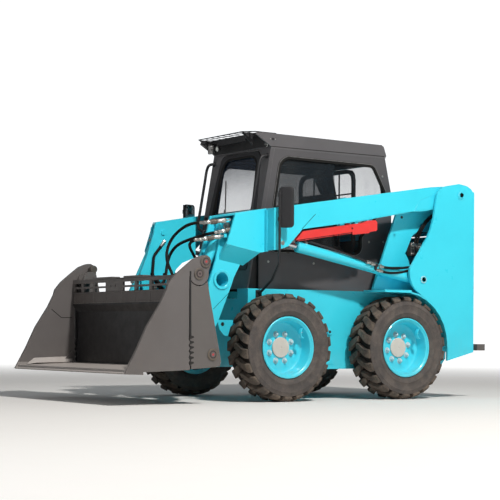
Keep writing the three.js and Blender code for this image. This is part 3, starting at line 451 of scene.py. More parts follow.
class Piece:
    """One visible piece, gathered from arrays of points and faces in vehicle millimetres."""

    def __init__(self, name, body, mat, slot):
        self.name, self.body, self.mat, self.slot = name, body, mat, slot
        self.v, self.f = [], []

    def raw(self, verts, faces):
        o = len(self.v)
        self.v += [tuple(map(float, p)) for p in verts]
        self.f += [tuple(o + i for i in f) for f in faces]
        return self

    def box(self, x0, x1, y0, y1, z0, z1):
        x0, x1 = sorted((x0, x1)); y0, y1 = sorted((y0, y1)); z0, z1 = sorted((z0, z1))
        v = [(x, y, z) for x in (x0, x1) for y in (y0, y1) for z in (z0, z1)]
        return self.raw(v, [(0, 1, 3, 2), (4, 6, 7, 5), (0, 4, 5, 1), (2, 3, 7, 6), (0, 2, 6, 4), (1, 5, 7, 3)])

    def prism(self, poly, plane, a, b):
        """poly in the plane's two axes (XZ for Y, YZ for X, XY for Z), from a to b along the third."""
        f3 = {"y": lambda p, t: (p[0], t, p[1]), "x": lambda p, t: (t, p[0], p[1]), "z": lambda p, t: (p[0], p[1], t)}[plane]
        n = len(poly)
        v = [f3(p, a) for p in poly] + [f3(p, b) for p in poly]
        f = [tuple(range(n)), tuple(range(2 * n - 1, n - 1, -1))]
        f += [(i, i + n, (i + 1) % n + n, (i + 1) % n) for i in range(n)]
        return self.raw(v, f)

    def ring(self, outer, inner, plane, a, b):
        """A closed frame between two outlines of the same number of points."""
        f3 = {"y": lambda p, t: (p[0], t, p[1]), "x": lambda p, t: (t, p[0], p[1]), "z": lambda p, t: (p[0], p[1], t)}[plane]
        n = len(outer)
        v = [f3(p, a) for p in outer] + [f3(p, a) for p in inner] + [f3(p, b) for p in outer] + [f3(p, b) for p in inner]
        f = []
        for i in range(n):
            j = (i + 1) % n
            f += [(i, j, n + j, n + i), (2 * n + i, 3 * n + i, 3 * n + j, 2 * n + j),
                  (i, 2 * n + i, 2 * n + j, j), (n + i, n + j, 3 * n + j, 3 * n + i)]
        return self.raw(v, f)

    def frame_of(self, d):
        d = np.array(d, float)
        d = d / np.linalg.norm(d)
        h = np.array([0, 0, 1.0]) if abs(d[2]) < 0.9 else np.array([1.0, 0, 0])
        u = np.cross(d, h)
        u /= np.linalg.norm(u)
        return d, u, np.cross(d, u)

    def lathe(self, prof, origin, d, seg=48, closed=False, phase=0.0):
        """prof is [(radius, distance along d)]; a radius of 0 closes an end."""
        d, u, w = self.frame_of(d)
        o = np.array(origin, float)
        v, rings = [], []
        for r, t in prof:
            if r <= 1e-9:
                rings.append([len(v)])
                v.append(o + d * t)
            else:
                rings.append(list(range(len(v), len(v) + seg)))
                for k in range(seg):
                    a = 2 * math.pi * k / seg + phase
                    v.append(o + d * t + (u * math.cos(a) + w * math.sin(a)) * r)
        f = []
        pairs = list(zip(rings, rings[1:])) + ([(rings[-1], rings[0])] if closed else [])
        for A, B in pairs:
            if len(A) == 1 and len(B) == 1:
                continue
            for k in range(seg):
                j = (k + 1) % seg
                if len(A) == 1:
                    f.append((A[0], B[k], B[j]))
                elif len(B) == 1:
                    f.append((A[k], B[0], A[j]))
                else:
                    f.append((A[k], B[k], B[j], A[j]))
        return self.raw(v, f)

    def tube(self, pts, r, seg=12, per=6, smooth=True):
        P = smooth_path(pts, per=per) if smooth and len(pts) > 2 else [np.array(p, float) for p in pts]
        return self.sweep(P, r, seg)

    def sweep(self, P, r, seg=12):
        v, f, prev = [], [], None
        n = len(P)
        for i, p in enumerate(P):
            d = (P[min(i + 1, n - 1)] - P[max(i - 1, 0)])
            d = d / np.linalg.norm(d)
            if prev is None:
                _, u, w = self.frame_of(d)
            else:
                u = prev - d * (prev @ d)
                u /= np.linalg.norm(u)
                w = np.cross(d, u)
            prev = u
            rr = r(i / (n - 1)) if callable(r) else r
            for k in range(seg):
                a = 2 * math.pi * k / seg
                v.append(p + (u * math.cos(a) + w * math.sin(a)) * rr)
        for i in range(n - 1):
            for k in range(seg):
                j = (k + 1) % seg
                f.append((i * seg + k, i * seg + j, (i + 1) * seg + j, (i + 1) * seg + k))
        f.append(tuple(range(seg - 1, -1, -1)))
        f.append(tuple((n - 1) * seg + k for k in range(seg)))
        return self.raw(v, f)

    def bolt(self, p, d, r=11, h=9, washer=True, phase=0.0, dome=False):
        """Hexagon head on a washer; r is the flat-to-corner radius."""
        p = np.array(p, float)
        dd = np.array(d, float) / np.linalg.norm(d)
        if washer:
            self.lathe([(0, -0.6), (r * 1.45, -0.6), (r * 1.5, 1.2), (r * 1.38, 2.4), (0, 2.4)], p, dd, 20)
        s = 2.2 if washer else -0.6
        self.lathe([(0, s), (r * 0.96, s), (r, s + 0.8), (r, s + h * 0.78), (r * 0.84, s + h), (0, s + h)], p, dd, 6, phase=phase)
        if dome:
            self.lathe([(r * 0.72, s + h - 0.5), (r * 0.6, s + h + r * 0.35), (r * 0.3, s + h + r * 0.55), (0, s + h + r * 0.6)], p, dd, 12)
        return self

    def hexnut(self, p, d, r, a, b, phase=0.0):
        return self.lathe([(0, a), (r * 0.93, a), (r, a + (b - a) * 0.15), (r, b - (b - a) * 0.15), (r * 0.93, b), (0, b)], p, d, 6, phase=phase)

    def done(self, bevel=0.0, seg=2, angle=32.0, replaces=(), merge=False, body=None, subdiv=0, ride=True):
        me = bpy.data.meshes.new(self.name)
        me.from_pydata([row(p) for p in self.v], [], self.f)
        me.validate()
        bm = bmesh.new()
        bm.from_mesh(me)
        if merge:
            bmesh.ops.remove_doubles(bm, verts=bm.verts, dist=2e-5)
        bmesh.ops.recalc_face_normals(bm, faces=bm.faces)
        bm.to_mesh(me)
        bm.free()
        me.shade_smooth()
        me.set_sharp_from_angle(angle=math.radians(angle))
        ob = bpy.data.objects.new(self.name, me)
        scene.collection.objects.link(ob)
        me.materials.append(M[self.mat])
        if bevel:
            b = ob.modifiers.new("bevel", "BEVEL")
            b.width, b.segments, b.limit_method, b.angle_limit = bevel, seg, "ANGLE", math.radians(angle)
            b.harden_normals = False
            b.use_clamp_overlap = True
        if subdiv:
            s = ob.modifiers.new("sub", "SUBSURF")
            s.levels = s.render_levels = subdiv
        if ride:
            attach(ob, self.body)
        if replaces:
            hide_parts(*replaces)
        return ob


SIDES = (("left", 1), ("right", -1))
# frame dimensions, as in the CAD
PIVOT, LIFT_BASE, LIFT_EYE = (-538, 1560), (-165, 902), (1105, 1140)
TILT_BASE, TILT_EYE, TILT_Y = (1460, 1245), (1761, 624), 439
BUCKET_PIN, JAW_PIN, JAW_EYE, JAW_BASE, JAW_Y = (1675, 400), (1898, 885), (1848, 968), (1788, 340), 770
CROSS_TUBE, LIFT_Y, AXLE_Z, TRACK_Y = (1493, 865), 655, 386.5, 628.6


def cab_x(z):
    return 1001 + (1858 - z) * 0.1817


# ------------------------------------------------------------------ the two free hoses and their fittings
HOSES = {
    "aux_hose_upper": [(1684, 556, 1256), (1707.7, 517, 1256.9), (1718.8, 472.6, 1253.9), (1723.4, 427.3, 1247.5), (1725.9, 382.5, 1237.7), (1728.5, 338.7, 1224), (1732.8, 296.8, 1205.6), (1739.7, 258.8, 1180.9), (1749.7, 228.5, 1148.1), (1762.7, 212.4, 1107.4), (1776.6, 215.7, 1064.1), (1789.4, 234.7, 1024.4), (1800.8, 263.4, 990.6), (1811.5, 297.6, 961.8), (1821.9, 334.7, 936.7), (1832.9, 373.1, 913.9), (1845.7, 411.3, 891.8), (1861.8, 448.2, 869.6), (1883.5, 481.8, 847.1), (1911.3, 511.6, 825.9), (1943.3, 540.2, 809.4), (1961, 561, 804.5)],
    "aux_hose_middle": [(1560, 552, 1196), (1594.5, 524, 1189.1), (1621.6, 489.2, 1179.4), (1642.7, 450.6, 1169.2), (1659.5, 409.9, 1159.5), (1673.4, 367.9, 1150.1), (1685.5, 325.6, 1139.9), (1697, 283.9, 1127.2), (1709, 244.3, 1109.2), (1722.7, 211.7, 1081.5), (1738.4, 194.1, 1043.5), (1754.4, 194, 1001.5), (1770.3, 206.3, 961.2), (1787.3, 225.6, 924.1), (1806.7, 249.2, 890.9), (1830, 274.7, 861.8), (1858.4, 300, 837.6), (1892.5, 323.1, 819.2), (1931, 343.2, 806.9), (1965.5, 359, 801)],
}
for node, pts in HOSES.items():
    P = smooth_path(pts, per=7)
    piece = Piece(node.replace("aux_hose", "free_hose"), "lift_arms", "hose", "hose_rubber")
    piece.sweep(P, 10.8, 16)
    ob = piece.done(angle=60, ride=False)
    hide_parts(node)
    line = [list(row(p)) for p in P]
    length = sum((Vector(a) - Vector(b)).length for a, b in zip(line, line[1:]))
    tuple(line[0])
    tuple(line[-1])
    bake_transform(ob)
    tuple(line[0])
    # crimped ferrules at the coupler and where the hose goes into the rail
    P0, P1 = np.array(P[0]), np.array(P[-1])
    d0, d1 = np.array(P[2]) - P0, P1 - np.array(P[-3])
    ferrule = [(0, -5), (12.5, -5), (13.6, -3), (13.6, 4), (12.4, 6), (12.4, 11), (13.6, 13), (13.6, 22), (12.2, 25), (11, 27), (0, 27)]
    e = Piece(node.replace("aux_hose", "free_hose") + "_start", "lift_arms", "zinc", "rod_chrome")
    e.lathe(ferrule, P0, d0, 24)
    e.hexnut(P0, d0, 16, -14, -2)
    e.done(bevel=0.0006, seg=1)
    e = Piece(node.replace("aux_hose", "free_hose") + "_end", "bucket", "zinc", "rod_chrome")
    e.lathe([(r_, t_ - 2) for r_, t_ in ferrule], P1, -d1, 24)
    e.done(bevel=0.0006, seg=1)

# ------------------------------------------------------------------ CAD nodes: finish and softened edges
NODE_MAT = {}
for n in NODES:
    if n.endswith("_tyre"):
        NODE_MAT[n] = ("tyre", 0)
    elif n.endswith("_rim"):
        NODE_MAT[n] = ("rim", 0)
    elif n.endswith(("_lift_cylinder", "_tilt_cylinder", "_jaw_cylinder")):
        NODE_MAT[n] = ("cyan", 0)
    elif n.endswith(("_lift_rod", "_tilt_rod", "_jaw_rod")):
        NODE_MAT[n] = ("chrome", 0)
NODE_MAT.update({
    "chassis_frame": ("cyan", 2.5), "left_upright": ("cyan", 2.5), "right_upright": ("cyan", 2.5),
    "left_lift_arm": ("cyan", 2.5), "right_lift_arm": ("cyan", 2.5), "rear_bumper": ("bucket", 3), "engine_block": ("iron", 3),
    "rear_door": ("cyan", 3), "engine_hood": ("cyan", 4), "cab_frame": ("cab_shell", 3), "cab_roof": ("cab", 5),
    "front_door": ("black", 3), "front_door_glass": ("glass_front", 0), "left_window_glass": ("glass_left", 0), "right_window_glass": ("glass_side", 0),
    "rear_window_glass": ("glass_clear", 0), "rear_screen": ("black", 2), "arm_cross_tube": ("cyan", 0), "arm_support_bar": ("red", 2.5),
    "bucket_back": ("bucket_shell", 2), "quick_attach": ("bucket", 2.5), "bucket_jaw": ("jaw", 2), "seat_base": ("plastic", 5),
})
for n, ob in NODES.items():
    mat, bev = NODE_MAT.get(n, ("black", 2))
    ob.data.materials.clear() if not ob.data.materials else None
    if not ob.material_slots:
        ob.data.materials.append(M[mat])
    for s in ob.material_slots:
        s.link = "OBJECT"
        s.material = M[mat]
    if bev:
        d = ob.modifiers.new("flat", "DECIMATE")
        d.decimate_type = "DISSOLVE"
        d.angle_limit = math.radians(0.6)
        b = ob.modifiers.new("bevel", "BEVEL")
        b.width = bev / 1000.0
        b.segments = 2
        b.limit_method = "ANGLE"
        b.angle_limit = math.radians(38)
        b.use_clamp_overlap = True
        b.harden_normals = True

# ------------------------------------------------------------------ wheels
CARCASS = [(222.5, 100), (226, 107), (236, 114.5), (254, 120.5), (259, 124.5), (263, 125.2), (267, 124), (271, 121.5), (292, 124.5), (313, 125.6),
           (316, 126.6), (319, 128.0), (322, 126.6), (334, 124.5), (343, 120.5), (346, 121), (349, 117), (353, 106), (356, 92), (358, 74), (359, 40), (359, 0)]


def lug_stations(alt):
    # radius, across, (normal), height, angle (deg), half width (deg)
    return [
        (366.5, -8, (1, 0), 19.2, -0.8, 2.7), (366.5, 16, (1, 0), 19.2, 0.4, 3.5), (366, 44, (1, 0.0), 19.4, 3.1, 3.9),
        (364.8, 74, (1.0, 0.04), 20.5, 6.1, 4.2), (360.5, 96, (0.93, 0.36), 22.0, 8.0, 4.7), (353, 111, (0.72, 0.69), 19.0, 8.6, 5.0),
        (349 if alt else 351, 117.5, (0.45, 0.89), 8.0, 8.8, 4.8),
    ]


def add_wheel(end, side, xc, s):
    body = f"{end}_{side}_wheel"
    c = s * TRACK_Y

    def at(r, y, deg):
        a = math.radians(deg)
        return (xc + r * math.sin(a), c + s * y, AXLE_Z + r * math.cos(a))
    # carcass
    t = Piece(f"{end}_{side}_tyre_carcass", body, "tyre", "tyre_rubber")
    prof = CARCASS + [(r, -y) for r, y in reversed(CARCASS[:-1])] + [(214, -99), (207, -80), (207, 80), (214, 99)]
    seg = 96
    v = [at(r, y, 360.0 * k / seg) for k in range(seg) for r, y in prof]
    n = len(prof)
    f = [(k * n + i, k * n + (i + 1) % n, ((k + 1) % seg) * n + (i + 1) % n, ((k + 1) % seg) * n + i) for k in range(seg) for i in range(n)]
    t.raw(v, f)
    ob = t.done(angle=50, replaces=[f"{end}_{side}_tyre"])
    # the tread base between the lugs takes the near-black gap rubber: painted shade
    ob.data.materials.append(M["gap"])
    for q_ in ob.data.polygons:
        c_ = q_.center
        if math.hypot(c_.x - (xc + X0) / 1000.0, c_.z - AXLE_Z / 1000.0) > 0.3475:
            q_.material_index = 1
    # lugs: bars from the centre line to the shoulder, the two halves half a pitch apart
    g = Piece(f"{end}_{side}_tyre_tread", body, "tread", "tyre_rubber")
    count = 22
    for half in (1, -1):
        for k in range(count):
            base = 360.0 * k / count + (180.0 / count if half < 0 else 0) + (7 if s > 0 else 0)
            st = lug_stations(k % 2 == 0)
            v = []
            for r, y, (nr, ny), h, deg, hw in st:
                nl = math.hypot(nr, ny)
                nr, ny = nr / nl, ny / nl
                lo = (r - nr * 13.0, y - ny * 9.0)
                hi = (min(r + nr * h, 385.8), min(y + ny * h, 131.6))
                for (rr, yy), w in ((lo, hw + 0.9), (hi, hw), ):
                    v.append(at(rr, yy * half, base + deg - w))
                for (rr, yy), w in ((hi, hw), (lo, hw + 0.9)):
                    v.append(at(rr, yy * half, base + deg + w))
            m_ = len(st)
            f = []
            for i in range(m_ - 1):
                for j in range(4):
                    q = (j + 1) % 4
                    f.append((i * 4 + j, i * 4 + q, (i + 1) * 4 + q, (i + 1) * 4 + j))
            f += [(0, 1, 2, 3), tuple((m_ - 1) * 4 + j for j in (3, 2, 1, 0))]
            g.raw(v, f)
    g.done(bevel=0.003, seg=2, angle=30)
    # rim: flange, well, dished disc
    r = Piece(f"{end}_{side}_rim_dish", body, "rim", "rim_paint")
    prof = [(0, -16), (70, -14), (150, -12), (186, -44), (188, -112), (206, -115), (220, -113), (221, -106), (214, -101), (202, -84),
            (200, -60), (200, 84), (208, 98), (216, 102), (221, 107), (221.5, 113), (217, 116.5), (211, 115), (206, 108), (197.5, 103), (193, 84), (190, 60),
            (187, 34), (181, 16), (170, 9.5), (155, 7.5), (120, 7), (84, 7), (76, 7), (74.5, 8), (74.2, 10), (0, 10)]
    r.lathe([(a, b) for a, b in prof], (xc, c, AXLE_Z), (0, s, 0), 96)
    ob = r.done(angle=35, replaces=[f"{end}_{side}_rim"])
    # hub cap, bolts, valve and its guard
    h = Piece(f"{end}_{side}_hub_cap", body, "cap", "rim_paint")
    h.lathe([(0, 2), (71, 2), (73, 4), (73, 15.5), (70, 18.3), (7, 18.8), (6, 17.5), (0, 17.5)], (xc, c, AXLE_Z), (0, s, 0), 72)
    h.done(angle=40)
    b = Piece(f"{end}_{side}_wheel_nuts", body, "nut", "rim_paint")
    for k in range(8):
        a = math.radians(22.5 + 45 * k + (0 if end == "front" else 11))
        b.bolt((xc + 101.5 * math.cos(a), c + s * 7.2, AXLE_Z + 101.5 * math.sin(a)), (0, s, 0), 15, 15, True, a, dome=True)
    va = math.radians(38)
    ux, uz = (-math.cos(va) if s > 0 else math.cos(va)), math.sin(va)
    b.tube([(xc + ux * 196, c + s * 54, AXLE_Z + uz * 196), (xc + ux * 184, c + s * 60, AXLE_Z + uz * 184), (xc + ux * 176, c + s * 78, AXLE_Z + uz * 176)], 4.2, 10)
    b.done(bevel=0.0008, seg=1, angle=32)
    q = Piece(f"{end}_{side}_valve_guard", body, "rim", "rim_paint")
    tx, tz = -uz, ux
    pts = [(xc + ux * (200 - 4) + tx * -22, c + s * 50, AXLE_Z + uz * (200 - 4) + tz * -22)]
    rad = [(190, -30, 88), (168, -27, 98), (146, -10, 100), (140, 12, 99), (150, 30, 95)]
    P = [(xc + ux * a + tx * t_, c + s * y, AXLE_Z + uz * a + tz * t_) for a, t_, y in [(199, -24, 66)] + rad]
    sm = smooth_path(P, per=5)
    o = []
    for i, p in enumerate(sm):
        d = sm[min(i + 1, len(sm) - 1)] - sm[max(i - 1, 0)]
        d /= np.linalg.norm(d)
        w = np.array([0, 1.0, 0]) * s
        u_ = np.cross(d, w)
        u_ /= np.linalg.norm(u_)
        o += [p - w * 16 - u_ * 3, p + w * 12 - u_ * 3, p + w * 12 + u_ * 3, p - w * 16 + u_ * 3]
    n_ = len(sm)
    f = [(i * 4 + j, i * 4 + (j + 1) % 4, (i + 1) * 4 + (j + 1) % 4, (i + 1) * 4 + j) for i in range(n_ - 1) for j in range(4)]
    f += [(0, 3, 2, 1), tuple((n_ - 1) * 4 + j for j in range(4))]
    q.raw(o, f)
    q.done(bevel=0.0015, angle=40)


for end, xc in (("front", 1080.0), ("rear", 0.0)):
    for side, s in SIDES:
        add_wheel(end, side, xc, s)

# ------------------------------------------------------------------ cylinders
def unit(a, b):
    d = np.array([b[0] - a[0], 0.0, b[1] - a[1]])
    return d / np.linalg.norm(d)


def cylinder(name, bb, pb, nodes, base, eye, y, s, R, length, rod_r, rod_len, er, ew, pr, pw, pin_r):
    d = unit(base, eye)
    B = np.array([base[0], y, base[1]], float)
    E = np.array([eye[0], y, eye[1]], float)
    up_ = np.array([-d[2], 0, d[0]])
    p = Piece(f"{name}_barrel_tube", bb, "cyan", "machine_paint")
    p.lathe([(0, er * 0.75), (R * 0.8, er * 0.75), (R - 2, er + 5), (R + 0.6, er + 9), (R + 0.6, er + 16), (R, er + 20), (R, length - 52), (R - 1.2, length - 50),
             (R + 0.6, length - 48), (R + 0.6, length - 6), (R - 1.0, length - 2), (R - 3, length), (rod_r + 5, length), (rod_r + 4, length + 2.5), (rod_r + 1.6, length + 2.5),
             (rod_r + 1.6, length - 44), (R - 7, length - 44), (R - 7, er + 26), (0, er + 26)], B, d, 56)
    # bored base eye
    p.lathe([(pin_r, -ew / 2), (er - 2, -ew / 2), (er, -ew / 2 + 2), (er, ew / 2 - 2), (er - 2, ew / 2), (pin_r, ew / 2)], B, (0, s, 0), 48, closed=True)
    p.done(angle=28, replaces=[nodes[0]])
    # ports and gland marks
    z = Piece(f"{name}_barrel_fittings", bb, "zinc", "machine_paint")
    for t in (er + 52, length - 78):
        o = B + d * t + up_ * (R - 3)
        z.lathe([(0, 0), (12, 0), (13, 6), (13, 10), (0, 10)], o, up_, 20)
        z.hexnut(o, up_, 11.5, 10, 20)
    z.done(bevel=0.0006, seg=1)
    q = Piece(f"{name}_rod_shaft", pb, "chrome", "rod_chrome")
    q.lathe([(0, er * 0.0 + pr * 0.7), (rod_r, pr * 0.7), (rod_r, rod_len - 3), (rod_r - 3, rod_len), (0, rod_len)], E, -d, 48)
    q.done(angle=28, replaces=[nodes[1]])
    k = Piece(f"{name}_rod_eye", pb, "cyan" if pr > 30 else "steel", "machine_paint")
    k.lathe([(0, -pw / 2), (pr - 2.5, -pw / 2), (pr, -pw / 2 + 2.5), (pr, pw / 2 - 2.5), (pr - 2.5, pw / 2), (0, pw / 2)], E, (0, s, 0), 48)
    k.lathe([(rod_r + 0.4, pr * 0.8), (rod_r + 5, pr * 0.85), (rod_r + 5, pr + 8), (rod_r + 0.4, pr + 14)], E, -d, 40, closed=True)
    k.lathe([(0, -pw / 2 - 0.8), (pr * 0.45, -pw / 2 - 0.8), (pr * 0.45, pw / 2 + 0.8), (0, pw / 2 + 0.8)], E, (0, s, 0), 24)
    k.done(angle=28)


for side, s in SIDES:
    cylinder(f"{side}_lift", f"{side}_lift_barrel", f"{side}_lift_piston", (f"{side}_lift_cylinder", f"{side}_lift_rod"), LIFT_BASE, LIFT_EYE, s * LIFT_Y, s, 39, 1140, 19, 985, 42, 56, 38, 48, 24)
    cylinder(f"{side}_tilt", f"{side}_tilt_barrel", f"{side}_tilt_piston", (f"{side}_tilt_cylinder", f"{side}_tilt_rod"), TILT_BASE, TILT_EYE, s * TILT_Y, s, 36, 520, 18, 545, 34, 50, 32, 28, 22)
    cylinder(f"{side}_jaw", f"{side}_jaw_barrel", f"{side}_jaw_piston", (f"{side}_jaw_cylinder", f"{side}_jaw_rod"), JAW_BASE, JAW_EYE, s * JAW_Y, s, 33, 430, 16, 430, 32, 44, 28, 36, 20)

# ------------------------------------------------------------------ mirrors and grab handles
def bent(pts, r, n=6):
    """A polyline with each corner turned into a short arc of radius r."""
    P = [np.array(p, float) for p in pts]
    out = [P[0]]
    for a, p, b in zip(P, P[1:], P[2:]):
        u, w = a - p, b - p
        lu, lw = np.linalg.norm(u), np.linalg.norm(w)
        u, w = u / lu, w / lw
        half = math.acos(max(-1, min(1, float(u @ w)))) / 2
        d = min(r / math.tan(half), lu * 0.45, lw * 0.45)
        rr = d * math.tan(half)
        m_ = u + w
        if np.linalg.norm(m_) < 1e-4:
            out.append(p)
            continue
        c = p + m_ / np.linalg.norm(m_) * (rr / math.sin(half))
        s0, s1 = p + u * d - c, p + w * d - c
        ang = math.acos(max(-1, min(1, float(s0 @ s1) / rr / rr)))
        for k in range(n + 1):
            t = k / n
            out.append(c + (s0 * math.sin((1 - t) * ang) + s1 * math.sin(t * ang)) / math.sin(ang) if ang > 1e-3 else p)
    out.append(P[-1])
    return out


def outline(w, h, r):
    return rounded([(-w, -h), (w, -h), (w, h), (-w, h)], r, 9)


MIRRORS = {
    "left": (1160, 1200, [(1166, 728), (1092, 809), (1073, 791), (1147, 712)], (1235, 1526)),
    "right": (1060, 1180, [(1068, 744), (952, 778), (945, 756), (1060, 721)], (1215, 1506)),
}
for side, s in SIDES:
    top_x, top_z, plan, (mz0, mz1) = MIRRORS[side]
    p = Piece(f"{side}_mirror_stalk", "chassis", "black", "black_trim")
    p.sweep(bent([(1160, s * 478.5, 780), (1160, s * 510, 790), (1160, s * 642, 868), (1160, s * 735, 985), (top_x, s * 735, top_z), (top_x, s * 735, 1500)], 38), 9.6, 16)
    p.box(1135.5, 1184.5, s * 470.6, s * 479.5, 745.5, 799.5)
    for z in (758, 787):
        p.bolt((1147, s * 479, z), (0, s, 0), 6, 5)
        p.bolt((1173, s * 479, z), (0, s, 0), 6, 5)
    for z in (mz0 + 60, mz1 - 60):
        p.lathe([(9, -16), (13, -15), (13.5, -12), (13.5, 12), (13, 15), (9, 16)], (top_x, s * 735, z), (0, 0, 1), 20, closed=True)
    p.done(bevel=0.0015, replaces=[f"{side}_mirror"])
    # head: a shell with big rounded corners
    Q = [np.array([a, s * b, 0.0]) for a, b in plan]
    cen = sum(Q) / 4 + np.array([0, 0, (mz0 + mz1) / 2.0])
    u_ = (Q[1] - Q[0]) / np.linalg.norm(Q[1] - Q[0])
    nrm = np.array([-u_[1], u_[0], 0.0])
    if nrm[0] < 0:
        nrm = -nrm
    hw, hh = np.linalg.norm(Q[1] - Q[0]) / 2 - 0.6, (mz1 - mz0) / 2.0
    levels = [(3.4, 3.4, 24, -11.2), (0.6, 0.6, 27, -9), (0.3, 0.3, 27, 1), (2.2, 2.2, 26, 6.5), (7.6, 7.6, 24, 9.6), (19, 19, 18, 11.2), (38, 50, 12, 11.8)]
    v, n = [], None
    for w, h, r, t in levels:
        o = outline(hw - w, hh - h, r)
        n = len(o)
        v += [cen + u_ * a + np.array([0, 0, 1.0]) * b + nrm * t for a, b in o]
    f = []
    for i in range(len(levels) - 1):
        for k in range(n):
            j = (k + 1) % n
            f.append((i * n + k, i * n + j, (i + 1) * n + j, (i + 1) * n + k))
    f += [tuple(range(n)), tuple(range(len(levels) * n - 1, (len(levels) - 1) * n - 1, -1))]
    hd = Piece(f"{side}_mirror_head", "chassis", "black", "black_trim")
    hd.raw(v, f)
    hd.done(angle=38)
    g = Piece(f"{side}_mirror_glass", "chassis", "mirror", "black_trim")
    o = outline(hw - 7, hh - 7, 22)
    v = [cen + u_ * a + np.array([0, 0, 1.0]) * b + nrm * t for t in (-12.4, -11.0) for a, b in o]
    f = [tuple(range(n)), tuple(range(2 * n - 1, n - 1, -1))] + [(k, (k + 1) % n, n + (k + 1) % n, n + k) for k in range(n)]
    g.raw(v, f)
    g.done(angle=40)
    h = Piece(f"{side}_grab_rail", "chassis", "black", "black_trim")
    h.tube([(cab_x(1790) - 4, s * 362, 1790), (cab_x(1786) + 24, s * 362, 1788), (cab_x(1776) + 50, s * 362, 1776), (cab_x(1745) + 61, s * 362, 1745), (cab_x(1640) + 62, s * 362, 1640), (cab_x(1420) + 62, s * 362, 1420),
            (cab_x(1320) + 61, s * 362, 1320), (cab_x(1288) + 50, s * 362, 1288), (cab_x(1272) + 24, s * 362, 1272), (cab_x(1266) - 4, s * 362, 1266)], 10.8, 16, 5)
    for z in (1790, 1266):
        h.lathe([(0, -3), (21, -3), (22, 0), (21, 4), (0, 4)], (cab_x(z) + 3, s * 362, z), (1, 0, 0.18), 28)
    h.done(angle=40, replaces=[f"{side}_grab_handle"])

# ------------------------------------------------------------------ visor: perforated plate and gussets
def visor():
    p = Piece("visor_plate", "chassis", "black", "black_trim")
    y_at = lambda x: 356.0 if x < 1128 else 356.0 - (x - 1128) * 0.93
    cols, rows_ = 8, 3
    z0, z1 = 1959.0, 1961.2
    XR = [1010, 1069, 1128, 1191]

    def at(u, w):
        k = min(rows_ - 1, int(u * rows_ + 1e-9))
        x = XR[k] + (XR[k + 1] - XR[k]) * (u * rows_ - k)
        return (x, y_at(x) * (2 * w - 1))
    for i in range(rows_):
        for j in range(cols):
            u0, u1 = i / rows_, (i + 1) / rows_
            w0, w1 = j / cols, (j + 1) / cols
            lx, ly = XR[i + 1] - XR[i], 2 * y_at((XR[i] + XR[i + 1]) / 2) / cols
            sq, sl = [], []
            hx, hy = lx * 0.5 - 4.6, ly * 0.5 - 5.0
            rr = min(hx, hy) * 0.7
            solid = (i == 0)
            for k in range(24):
                a = 2 * math.pi * (k + 0.5) / 24
                ca, sa = math.cos(a), math.sin(a)
                t = 1 / max(abs(ca), abs(sa))
                sq.append((0.5 + 0.5 * ca * t, 0.5 + 0.5 * sa * t))
                bx, by = (hx - rr) * (1 if ca > 0 else -1), (hy - rr) * (1 if sa > 0 else -1)
                sl.append((0.5 + (bx + rr * ca) / lx, 0.5 + (by + rr * sa) / ly))
            corners = []
            def cell(a, b):
                x = XR[i] + lx * a
                return (x, y_at(x) * (2 * (w0 + (w1 - w0) * b) - 1))
            O = [cell(a, b) for a, b in sq]
            I = [cell(a, b) for a, b in sl]
            n = 24
            v = [(x, y, z) for z in (z0, z1) for x, y in O + I]
            f = []
            for k in range(n):
                q = (k + 1) % n
                f += [(k, q, n + q, n + k), (2 * n + k, 3 * n + k, 3 * n + q, 2 * n + q), (n + k, n + q, 3 * n + q, 3 * n + k)]
            p.raw(v, f)
            # square corners left between the cell's sampled outline and its true corners
            for (a, b) in ((1, 1), (0, 1), (0, 0), (1, 0)):
                near = sorted(range(n), key=lambda k: (sq[k][0] - a) ** 2 + (sq[k][1] - b) ** 2)[:2]
                x, y = cell(a, b)
                x1, y1 = O[near[0]]
                x2, y2 = O[near[1]]
                p.raw([(x, y, z0), (x1, y1, z0), (x2, y2, z0)], [(0, 1, 2)])
                p.raw([(x, y, z1), (x1, y1, z1), (x2, y2, z1)], [(0, 1, 2)])
    # border bars close the plate's edge
    p2 = Piece("visor_frame", "chassis", "black", "black_trim")
    p2.prism([(940, -367.5), (1012, -368.3), (1012, 368.3), (940, 367.5)], "z", 1955.6, 1961.9)
    for s in (1, -1):
        p2.prism([(1008, s * 354), (1128, s * 354), (1193, s * 294), (1199.6, s * 303.8), (1128, s * 371.6), (1008, s * 369.2)], "z", 1955.6, 1961.9)
        p2.prism([(1101, 1863), (1195, 1952), (1195, 1957), (1101, 1957)], "y", s * 290, s * 296)
    p2.box(1189, 1199.6, -303, 303, 1955.6, 1961.9)
    p2.box(1086.3, 1093.7, -339.6, 339.6, 1930.3, 1957)
    p2.done(bevel=0.0012, replaces=["roof_visor"])
    # one closed plate: side walls of the outer border come from a merge and a fill of the open edge loops
    me = bpy.data.meshes.new("visor_plate")
    me.from_pydata([row(q) for q in p.v], [], p.f)
    bm = bmesh.new()
    bm.from_mesh(me)
    bmesh.ops.remove_doubles(bm, verts=bm.verts, dist=4e-5)
    open_ = [e for e in bm.edges if len(e.link_faces) == 1]
    if open_:
        bmesh.ops.bridge_loops(bm, edges=open_)
    bmesh.ops.recalc_face_normals(bm, faces=bm.faces)
    bm.to_mesh(me)
    bm.free()
    ob = bpy.data.objects.new("visor_plate", me)
    scene.collection.objects.link(ob)
    me.materials.append(M["black"])
    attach(ob, "chassis")


visor()

